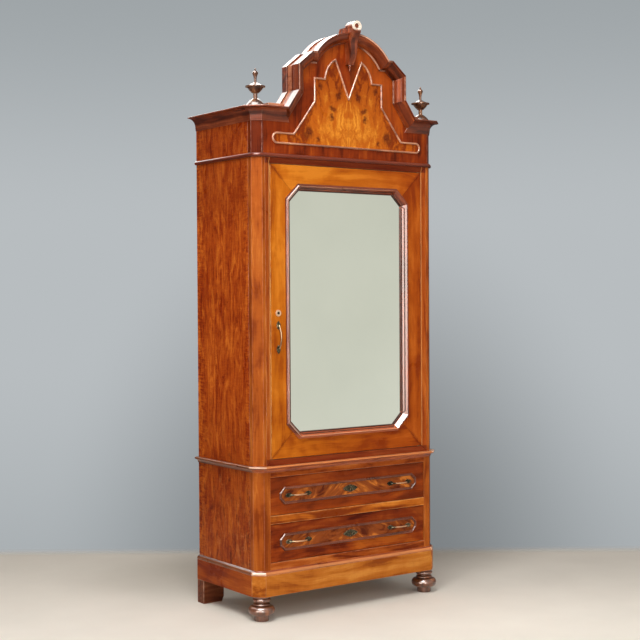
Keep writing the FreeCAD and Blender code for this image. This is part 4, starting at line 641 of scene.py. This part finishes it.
def drawer_veneer(tree, colour):
    x, y, z = place_in(tree, "XYZ")
    half_x = size_of(tree, x)
    upper = calc(tree, "GREATER_THAN", z, MIDDLE_RAIL)
    rise = calc(tree, "SUBTRACT", z, calc(
        tree, "MULTIPLY_ADD", upper, UPPER_DRAWER - LOWER_DRAWER, LOWER_DRAWER))
    height = size_of(tree, rise)
    inside = times(tree, soft_step(tree, half_x, FRAME_HALF, FRAME_HALF - 0.002),
                   soft_step(tree, height, FRAME_RISE, FRAME_RISE - 0.002),
                   soft_step(tree, calc(tree, "ADD", half_x, height), FRAME_CLIP,
                             FRAME_CLIP - 0.002))
    leaf = put(tree, "ShaderNodeCombineXYZ", {
        0: calc(tree, "MULTIPLY_ADD", upper, 1.7, x), 1: y,
        2: calc(tree, "MULTIPLY_ADD", rise, 1.0, times(tree, half_x, 0.5))}).outputs[0]
    swirl = noise(tree, stretch(tree, leaf, (7, 1, 15)), 1, 6, 0.62, 1.6)
    crotch = mix(tree, soft_step(tree, swirl, 0.34, 0.5), tone(88, 32, 12), tone(142, 70, 28))
    crotch = mix(tree, soft_step(tree, swirl, 0.5, 0.64), crotch, tone(206, 120, 46))
    slant = calc(tree, "ADD", times(tree, x, 4.4), calc(
        tree, "MULTIPLY_ADD", rise, 5.5, times(tree, upper, 7.37)))
    block = put(tree, "ShaderNodeTexWhiteNoise", {"W": calc(tree, "FLOOR", slant)},
                noise_dimensions="1D").outputs[0]
    border = stain(tree, colour, times(tree, block, 0.45), 0.55, 0.42, 0.4)
    border = mix(tree, 1.0, border, mix(tree, soft_step(tree, rise, 0.02, -0.02), (
        0.78, 0.72, 0.85, 1), (1.08, 1.12, 1, 1)), "MULTIPLY")
    border = mix(tree, times(tree, upper, 0.12), border, tone(190, 90, 30))
    return mix(tree, inside, border, crotch)


# Dark in the hollows of the leaves, a painted highlight on the bows where hands rub them, and on
# the door's keyhole plate a painted highlight round the keyhole and painted shade inside it
def tarnish_and_painted_light(tree, colour):
    x, y = place_in(tree, "XY")
    spot = spot_in(tree)
    colour = mix(tree, soft_step(tree, noise(tree, spot, 150, 4, 0.6), 0.56, 0.42), colour,
                 tone(48, 48, 36))
    # Painted highlight on the bows, where hands also rub them.
    bows = calc(tree, "MAXIMUM", band(tree, size_of(tree, x), BOW_X, 0.04, 0.025),
                times(tree, band(tree, x, DOOR_KEYHOLE[0], 0.04, 0.025), 0.3))
    pale_mark = times(tree, bows, soft_step(tree, y, BOW_FRONT + 0.006, BOW_FRONT), 0.8)
    colour = mix(tree, pale_mark, colour, tone(222, 172, 132))
    # Painted highlight round the keyhole plate, and painted shade in the keyhole.
    far = arrow(tree, "DISTANCE", spot, DOOR_KEYHOLE)
    colour = mix(tree, times(tree, soft_step(tree, far, 0.016, 0.0145), 0.85), colour,
                 tone(240, 202, 170))
    return mix(tree, soft_step(tree, far, 0.0075, 0.0055), colour, tone(36, 18, 12))


drawer_polish = finish("drawer_walnut_polish", (90, 26, 6), (138, 54, 12), (174, 86, 24),
                       worn_and_highlight=(226, 170, 130), streaks=22, clouds=0.8, shade=drawer_veneer)
trim_polish = finish("dark_trim_polish", (58, 18, 8), (100, 40, 18), (138, 68, 38),
                     worn_and_highlight=(214, 160, 126), streaks=60, clouds=0.6, gloss=0.35, coat=0.25, wear_and_highlight=0.4)
brass = finish("aged_brass", (40, 34, 22), (104, 94, 70), (182, 166, 134), worn_and_highlight=(232, 214, 180),
               streaks=260, clouds=0.9, metallic=0.75, gloss=0.5, wear_and_highlight=0.8, shade=tarnish_and_painted_light)
steel = finish("lock_steel", (70, 68, 66), (112, 110, 106), (150, 148, 144),
               worn_and_highlight=(190, 188, 184), streaks=40, clouds=0.3, metallic=0.85, gloss=0.5)
for drawer in ("lower", "upper"):
    body = drawer + "_drawer"
    dress(body + "_front", drawer_polish, "drawer_walnut", body, width=0)
    dress(body + "_frame", trim_polish, "moulding_walnut", body, width=0.0006)
    dress(body + "_box", lining, "lining_wood", body)
    dress(body + "_bottom", lining, "lining_wood", body)
    dress(body + "_fittings", brass, "brass", body, width=0.0005, least=0.001, stuff="brass")
    dress(body + "_bolt", steel, "lock_steel", drawer + "_bolt", width=0.0005, stuff="steel")

# Waist: a walnut board that closes the base case and is the cupboard's floor, with a moulding
# glued round its front and side edges and mitred at the cants.
dress("cupboard_floor", rail_polish, "case_walnut")
dress("waist_moulding", front_moulding_polish, "moulding_walnut", lay=wrap_grain,
      joint=mitre_in_plan)


# Upper case: canted walnut posts and veneered sides that stand on the waist, a walnut top board,
# and a back of four upright poplar boards set side by side between the sides.
def board_joint(normal):
    return abs(normal.x) > 0.9


dress("upper_posts", post_polish, "case_walnut", width=0.0016, along=UPRIGHT, steps=3)
dress("upper_sides", side_polish, "case_walnut", along=UPRIGHT)
dress("upper_back_boards", lining, "lining_wood", along=UPRIGHT, joint=board_joint)
dress("top_board", rail_polish, "case_walnut")


# Door surround: a mitred walnut frame between the posts that slopes back to the door, with
# painted shade at its head and foot and a painted highlight along the arris of each upright.
# Poplar stops are glued behind it.
def mitre(normal):
    return abs(normal.x) > 0.3 and abs(normal.z) > 0.3 and abs(normal.y) < 0.3


HEAD_FLOOR, FOOT_TOP, UPRIGHT_ARRIS = 1.975, 0.702, 0.4278


def painted_shade_and_arris_highlight(tree, colour):
    x, z = place_in(tree, "XZ")
    # Painted shade at the head and the foot.
    dark = calc(tree, "MAXIMUM", soft_step(tree, z, HEAD_FLOOR, HEAD_FLOOR + 0.007), times(
        tree, soft_step(tree, z, FOOT_TOP, FOOT_TOP - 0.006), 0.85))
    colour = stain(tree, colour, dark, 0.45, 0.32, 0.6)
    # Painted highlight along the arris of each upright.
    arris = times(tree, band(tree, size_of(tree, x), UPRIGHT_ARRIS, 0.0028, 0.0012),
                  soft_step(tree, z, 0.69, 0.71), 0.4)
    return mix(tree, arris, colour, tone(238, 168, 96))


surround_polish = finish("surround_walnut_polish", (128, 48, 11), (162, 74, 20), (188, 102, 38),
                         worn_and_highlight=(240, 176, 110), streaks=44, shade=painted_shade_and_arris_highlight)
dress("door_surround", surround_polish, "case_walnut", width=0.0006, joint=mitre)
dress("door_stops", lining, "lining_wood")

# Inside: a poplar hat shelf that lies on two battens, and a turned beech hanging rail that ends
# in bored sockets on the sides. The brass plates of the pivots are let into the surround.
beech = finish("hanging_rail_beech", (150, 104, 60), (180, 130, 82), (204, 158, 108),
               worn_and_highlight=(214, 176, 130), streaks=50, clouds=0.2, rings=0.02)
dress("hat_shelf", lining, "lining_wood")
dress("shelf_battens", lining, "lining_wood")
dress("hanging_rail", beech, "rail_wood", width=0)
dress("rail_sockets", lining, "lining_wood", width=0)
dress("case_pivot_plates", brass, "brass", width=0.0004, least=0.001, stuff="brass")

# Door: stiles and rails of golden walnut, mitred and glued at the corners, with painted shade
# that makes them darker and redder towards the hinge side, darker where the polish has gathered
# along the mitres, and painted shade in the keyhole.
DOOR_HALF, DOOR_RISE, DOOR_MIDDLE = 0.4225, 0.6385, 1.338


def door_painted_shade_and_mitres(tree, colour):
    x, z = place_in(tree, "XZ")
    spot = spot_in(tree)
    # Painted shade: darker and redder towards the right.
    rightwards = calc(tree, "ADD", x, times(tree, calc(tree, "SUBTRACT", z, 1.3), -0.12))
    colour = stain(tree, colour, soft_step(tree, rightwards, -0.25, 0.36), 0.79, 0.57, 0.64)
    in_x = calc(tree, "SUBTRACT", DOOR_HALF, size_of(tree, x))
    in_z = calc(tree, "SUBTRACT", DOOR_RISE, size_of(tree, calc(
        tree, "SUBTRACT", z, DOOR_MIDDLE)))
    off_mitre = size_of(tree, calc(tree, "SUBTRACT", in_x, in_z))
    stray = swing(tree, noise(tree, spot, 26, 3), 0.05)
    gathered = times(tree, soft_step(tree, calc(tree, "ADD", off_mitre, stray), 0.014, 0.002),
                     soft_step(tree, in_x, 0.09, 0.05), 0.6)
    colour = stain(tree, colour, gathered, 0.5, 0.3, 0.3)
    # Painted shade in the keyhole.
    hole = soft_step(tree, arrow(tree, "DISTANCE", spot, DOOR_KEYHOLE), 0.016, 0.012)
    return mix(tree, hole, colour, tone(28, 10, 4))


door_polish = finish("door_walnut_polish", (148, 66, 8), (184, 98, 16), (206, 122, 32),
                     worn_and_highlight=(240, 190, 110), streaks=20, clouds=0.9, rings=0.05, wear_and_highlight=0.75,
                     shade=door_painted_shade_and_mitres)
for node, along in (("door_stiles", UPRIGHT), ("door_rails", SIDEWAYS)):
    dress(node, door_polish, "door_walnut", "door", width=0.0012, along=along, least=0.01,
          joint=mitre)

# Mirror moulding and fittings: eight lengths of dark walnut moulding, mitred and glued round the
# opening, a poplar board behind the glass, and the door's brass pull, plates and steel lock.
MIRROR_HALF, MIRROR_RISE, MIRROR_MIDDLE, MIRROR_CLIP = 0.344, 0.5585, 1.3375, 0.8225
MOULDING_WIDTH, MOULDING_CROWN = 0.030, -0.2192
QUIRK_SHARE, GLASS_SHADE_SHARE = 0.64, 0.84


# Painted shade: a dark quirk line along the middle of the moulding's slope, and a dark band
# by the glass.
def painted_quirk_and_glass_shade(tree):
    x, z = place_in(tree, "XZ")
    out_x = size_of(tree, x)
    out_z = size_of(tree, calc(tree, "SUBTRACT", z, MIRROR_MIDDLE))
    straight = calc(tree, "MAXIMUM", calc(tree, "SUBTRACT", out_x, MIRROR_HALF),
                    calc(tree, "SUBTRACT", out_z, MIRROR_RISE))
    clipped = times(tree, calc(tree, "SUBTRACT", calc(tree, "ADD", out_x, out_z), MIRROR_CLIP),
                    0.7071)
    inward = times(tree, calc(tree, "MAXIMUM", straight, clipped), -1 / MOULDING_WIDTH)
    return calc(tree, "MAXIMUM", band(tree, inward, QUIRK_SHARE, 0.075, 0.045),
                soft_step(tree, inward, GLASS_SHADE_SHARE, GLASS_SHADE_SHARE + 0.04))


# Less coat where the shade of the quirk and by the glass is painted.
def less_coat_on_painted_shade(tree):
    return calc(tree, "MULTIPLY_ADD", painted_quirk_and_glass_shade(tree), -0.85, 0.87)


def painted_light_on_mirror_moulding(tree, colour):
    x, y, z = place_in(tree, "XYZ")
    # Painted light: the bottom run is painted lighter.
    colour = mix(tree, times(tree, soft_step(tree, z, 0.81, 0.79), 0.7), colour,
                 tone(180, 90, 42))
    # Painted highlight along the crown, except on the right run.
    crown = times(tree, band(tree, y, MOULDING_CROWN, 0.0016, 0.0008),
                  soft_step(tree, x, 0.3, 0.24), 0.7)
    colour = mix(tree, crown, colour, tone(226, 172, 136))
    # Painted shade in the quirk and by the glass.
    return mix(tree, times(tree, painted_quirk_and_glass_shade(tree), 0.85), colour, tone(44, 18, 10))


mirror_trim_polish = finish("mirror_moulding_polish", (74, 24, 8), (112, 44, 16), (146, 68, 32),
                            worn_and_highlight=(170, 100, 64), streaks=60, clouds=0.5, gloss=0.15,
                            coat=less_coat_on_painted_shade, edge_coat=0.1, wear_and_highlight=0.3, shade=painted_light_on_mirror_moulding)
dress("mirror_moulding", mirror_trim_polish, "moulding_walnut", "door", width=0.0025, steps=4,
      joint=mitre)
dress("mirror_cover_board", lining, "lining_wood", "door")
dress("door_furniture", brass, "brass", "door", width=0.0005, least=0.001, stuff="brass")
dress("door_lock_case", steel, "lock_steel", "door", width=0.0004, least=0.001, stuff="steel")
dress("door_lock_bolt", steel, "lock_steel", "door_bolt", width=0.0004, stuff="steel")
dress("door_pivot_plates", brass, "brass", "door", width=0.0004, least=0.001, stuff="brass")

# Mirror: a sheet of glass, silvered behind and slightly aged, with a bevel ground round its
# front. It lies loose in the door's opening, between the moulding's lip and the cover board.
BEVEL_WIDTH, BEVEL_DROP = 0.030, 0.0018

mirror = bpy.data.materials.new("silvered_glass")
mirror.use_nodes = True
silver = mirror.node_tree
silver.nodes.clear()
tint = mix(silver, noise(silver, spot_in(silver), 2.5, 5), tone(230, 233, 230),
           tone(244, 245, 241))
coating = put(silver, "ShaderNodeBsdfPrincipled", {"Base Color": tint, "Metallic": 1.0,
                                                   "Roughness": 0.03})
put(silver, "ShaderNodeOutputMaterial", {0: coating.outputs[0]})
for glass in solids_of("mirror_glass"):
    face = min(glass.faces, key=lambda face: face.normal.y * face.calc_area())
    rim = set(face.verts)
    bmesh.ops.inset_region(glass, faces=[face], thickness=BEVEL_WIDTH, use_even_offset=True)
    bmesh.ops.translate(glass, verts=[corner for corner in rim if corner not in face.verts],
                        vec=(0, BEVEL_DROP, 0))
    finish_piece("mirror_glass_bevelled", glass, mirror, "door", "mirror", "mirror_glass",
                 smooth=2)


# Frieze and pediment: walnut corner pieces and veneered side boards above a dark bead, a plain
# roof, and the upright board of the pediment, which is brighter to the right of its middle.
def brighter_to_right(tree, colour):
    x, z = place_in(tree, "XZ")
    bright = times(tree, band(tree, x, 0.16, 0.2, 0.05), soft_step(tree, z, 2.15, 2.25), 0.38)
    return mix(tree, bright, colour, tone(190, 90, 24))


crest_polish = finish("crest_walnut_polish", (84, 25, 5), (128, 46, 10), (164, 74, 19),
                      worn_and_highlight=(206, 156, 136), streaks=24, clouds=1.0, wear_and_highlight=0.35, edge_coat=0.3,
                      shade=brighter_to_right)
bead_of_frieze = finish("frieze_bead_polish", (78, 24, 8), (104, 37, 13), (126, 50, 20),
                        streaks=60, clouds=0.3, gloss=0.3, coat=0.22)
corner_polish = finish("frieze_corner_polish", (70, 18, 3), (94, 31, 5), (114, 44, 10),
                       worn_and_highlight=(196, 150, 134), streaks=30, clouds=0.7, wear_and_highlight=0.5, gloss=0.06,
                       edge_coat=0.1)
dress("frieze_bead", bead_of_frieze, "moulding_walnut", width=0, lay=wrap_grain,
      joint=mitre_in_plan)
dress("frieze_corners", corner_polish, "case_walnut", width=0.0012, along=UPRIGHT, steps=3)
dress("frieze_boards", side_polish, "case_walnut", along=UPRIGHT)
dress("roof_board", lining, "lining_wood")
dress("pediment_board", crest_polish, "crest_walnut", along=UPRIGHT, least=0.004)

# Burl panel: two leaves of golden walnut burl, book-matched on the middle line so that their
# knots mirror each other, on a panel let into the pediment inside a thin pale bead.

# How far each knot lies from the middle, how high it is, and how far it reaches
KNOTS = ((0.085, 2.236, 0.019), (0.096, 2.196, 0.015), (0.222, 2.124, 0.030),
         (0.055, 2.300, 0.020), (0.150, 2.330, 0.014), (0.170, 2.095, 0.012))
BURL_HEART = (0.03, 0, 2.13)


def burl_veneer(tree, colour):
    x, z = place_in(tree, "XZ")
    half_x = size_of(tree, x)
    leaf = put(tree, "ShaderNodeCombineXYZ", {0: half_x, 2: z}).outputs[0]
    bent = arrow(tree, "MULTIPLY_ADD", wander(tree, leaf, 16, 3), (0.045, 0, 0.045), leaf)
    flame = noise(tree, stretch(tree, bent, (34, 1, 11)), 1, 6, 0.6, 0.8)
    curl = noise(tree, bent, 60, 4, 0.6, 2.2)
    depth = calc(tree, "ADD", flame, swing(tree, curl, 0.3))
    heart = soft_step(tree, arrow(tree, "DISTANCE", bent, BURL_HEART), 0.27, 0.04)
    depth = calc(tree, "SUBTRACT", calc(tree, "MULTIPLY_ADD", heart, 0.27, depth), 0.12)
    panel = mix(tree, soft_step(tree, depth, 0.3, 0.5), tone(126, 48, 8), tone(180, 90, 18))
    panel = mix(tree, soft_step(tree, depth, 0.52, 0.8), panel, tone(222, 142, 44))
    fleck = soft_step(tree, noise(tree, stretch(tree, bent, (190, 1, 40)), 1, 3, 0.6), 0.56, 0.7)
    panel = mix(tree, times(tree, fleck, 0.4), panel, tone(122, 50, 10))
    bent = arrow(tree, "MULTIPLY_ADD", wander(tree, leaf, 75, 3), (0.03, 0, 0.03), bent)
    for across, up, reach in KNOTS:
        far = arrow(tree, "DISTANCE", bent, (across, 0, up))
        rings = calc(tree, "MULTIPLY_ADD", calc(tree, "SINE", times(tree, far, 700)), 0.14, 0.8)
        near = times(tree, soft_step(tree, far, reach * 1.25, reach * 0.3), rings)
        panel = mix(tree, near, panel, tone(84, 28, 10))
    panel = stain(tree, panel, soft_step(tree, z, 2.2, 2.34), 0.8, 0.72, 0.68)
    join_line = times(tree, soft_step(tree, half_x, 0.0012, 0.0004), 0.5)
    return mix(tree, join_line, panel, tone(110, 44, 12))


burl_polish = finish("burl_walnut_polish", (140, 56, 10), (196, 102, 20), (234, 150, 44),
                     shade=burl_veneer)
dress("burl_panel", burl_polish, "burl_veneer", along=UPRIGHT, width=0)
bead_polish = finish("panel_bead_polish", (116, 64, 40), (176, 116, 82), (212, 158, 122),
                     worn_and_highlight=(230, 205, 190), streaks=60, clouds=0.5, gloss=0.7, coat=0.6)
dress("panel_bead", bead_polish, "moulding_walnut", width=0)

# Crest: a deep cove moulding mitred and glued round the top of the pediment, with a plain core
# and a dark band behind it. Painted highlights run along the arris and the inner fillet of the
# arch on the right.
ARCH_CENTRE = Vector((0, 2.3301))
ARCH_RADIUS, ARCH_REACH, ARCH_FLOOR = 0.2464, 0.17, 2.45


def crest_grain(shape, number, along=None):
    middle = sum((corner.co for corner in shape.verts), Vector()) / len(shape.verts)
    if abs(middle.x) > ARCH_REACH or middle.z < ARCH_FLOOR:
        lay_grain(shape, number)
        return
    layer = grain_layer(shape)
    for corner in shape.verts:
        spoke = Vector((corner.co.x, corner.co.z)) - ARCH_CENTRE
        corner[layer] = Vector((math.atan2(spoke.x, spoke.y) * ARCH_RADIUS, spoke.length,
                                corner.co.y)) + own_figure(number)


# How far the surface lies from a line that runs back at a height over the middle
def off_middle(tree, height):
    x, z = place_in(tree, "XZ")
    spoke = put(tree, "ShaderNodeCombineXYZ", {0: x, 2: calc(tree, "SUBTRACT", z, height)})
    return arrow(tree, "LENGTH", spoke.outputs[0])


def painted_arch_highlights(tree, colour):
    x, z = place_in(tree, "XZ")
    out = off_middle(tree, ARCH_CENTRE.y)
    # Painted highlights along the arch's arris and inner fillet on the right.
    arris = times(tree, band(tree, out, ARCH_RADIUS - 0.004, 0.0035, 0.0015),
                  soft_step(tree, x, 0.0, 0.08), soft_step(tree, z, 2.46, 2.48))
    fillet = times(tree, band(tree, out, ARCH_RADIUS - 0.0435, 0.0032, 0.0022),
                   soft_step(tree, x, 0.06, 0.11), soft_step(tree, z, 2.43, 2.44), 0.7)
    pale_mark = times(tree, calc(tree, "MAXIMUM", arris, fillet), 0.75)
    return mix(tree, pale_mark, colour, tone(240, 186, 156))


def fresher_at_left(tree):
    [x] = place_in(tree, "X")
    return calc(tree, "MULTIPLY_ADD", soft_step(tree, x, 0.12, 0.0), 0.44, 0.03)


core_wood = finish("plain_core_wood", (120, 66, 44), (160, 100, 72), (190, 132, 102),
                   worn_and_highlight=(214, 170, 146), streaks=30, clouds=0.3, gloss=0.04, edge_coat=0)
cove_polish = finish("crest_moulding_polish", (66, 24, 9), (112, 46, 18), (152, 74, 36),
                     worn_and_highlight=(240, 190, 160), streaks=50, clouds=0.5, gloss=0.12,
                     coat=fresher_at_left, wear_and_highlight=0.5, edge_coat=0.3, shade=painted_arch_highlights)
dress("crest_core", core_wood, "crest_walnut", along=SIDEWAYS)
dress("crest_rear_band", trim_polish, "crest_walnut", along=SIDEWAYS, width=0.0012)
dress("crest_moulding", cove_polish, "moulding_walnut", width=0.0014, lay=crest_grain,
      joint=mitre)

# Cornice: the same cove in dark walnut, glued to the frieze on each side and mitred round its
# canted corner, where it meets the crest.
cornice_polish = finish("cornice_walnut_polish", (70, 24, 9), (116, 48, 20), (152, 74, 38),
                        worn_and_highlight=(170, 110, 80), streaks=50, clouds=0.5, gloss=0.3, coat=0.2,
                        wear_and_highlight=0.3, edge_coat=0.2)
dress("cornice_moulding", cornice_polish, "moulding_walnut", width=0.0014, lay=wrap_grain,
      joint=mitre_in_plan)

# Corbel and finials: a bracket carved from one piece of walnut, which straddles the arch and
# ends in a roll with a painted highlight round its dark eye, and two urns turned on a lathe.
ROLL_HEIGHT, EYE_RADIUS, BEHIND_ROLL = 2.6035, 0.009, -0.279


def painted_roll_highlight(tree, colour):
    y, z = place_in(tree, "YZ")
    out = off_middle(tree, ROLL_HEIGHT)
    behind = soft_step(tree, y, BEHIND_ROLL, BEHIND_ROLL + 0.008)
    above = soft_step(tree, calc(tree, "MULTIPLY_ADD", behind, -0.026, z), 2.580, 2.592)
    # Painted highlight on the roll round its eye.
    pale = times(tree, soft_step(tree, out, EYE_RADIUS, EYE_RADIUS + 0.0025), above, 0.85)
    return mix(tree, pale, colour, tone(246, 232, 216))


corbel_polish = finish("corbel_walnut_polish", (70, 24, 9), (124, 54, 24), (166, 88, 48),
                       worn_and_highlight=(240, 196, 168), streaks=50, clouds=0.5, gloss=0.3, coat=0.14,
                       wear_and_highlight=0.8, edge_coat=0.5, shade=painted_roll_highlight)
finial_polish = finish("finial_walnut_polish", (52, 28, 18), (96, 58, 36), (150, 100, 62),
                       streaks=50, clouds=0.5, gloss=0.3, coat=0.3)
dress("corbel", corbel_polish, "moulding_walnut", width=0.002, steps=3)
dress("finials", finial_polish, "moulding_walnut", width=0, along=UPRIGHT)
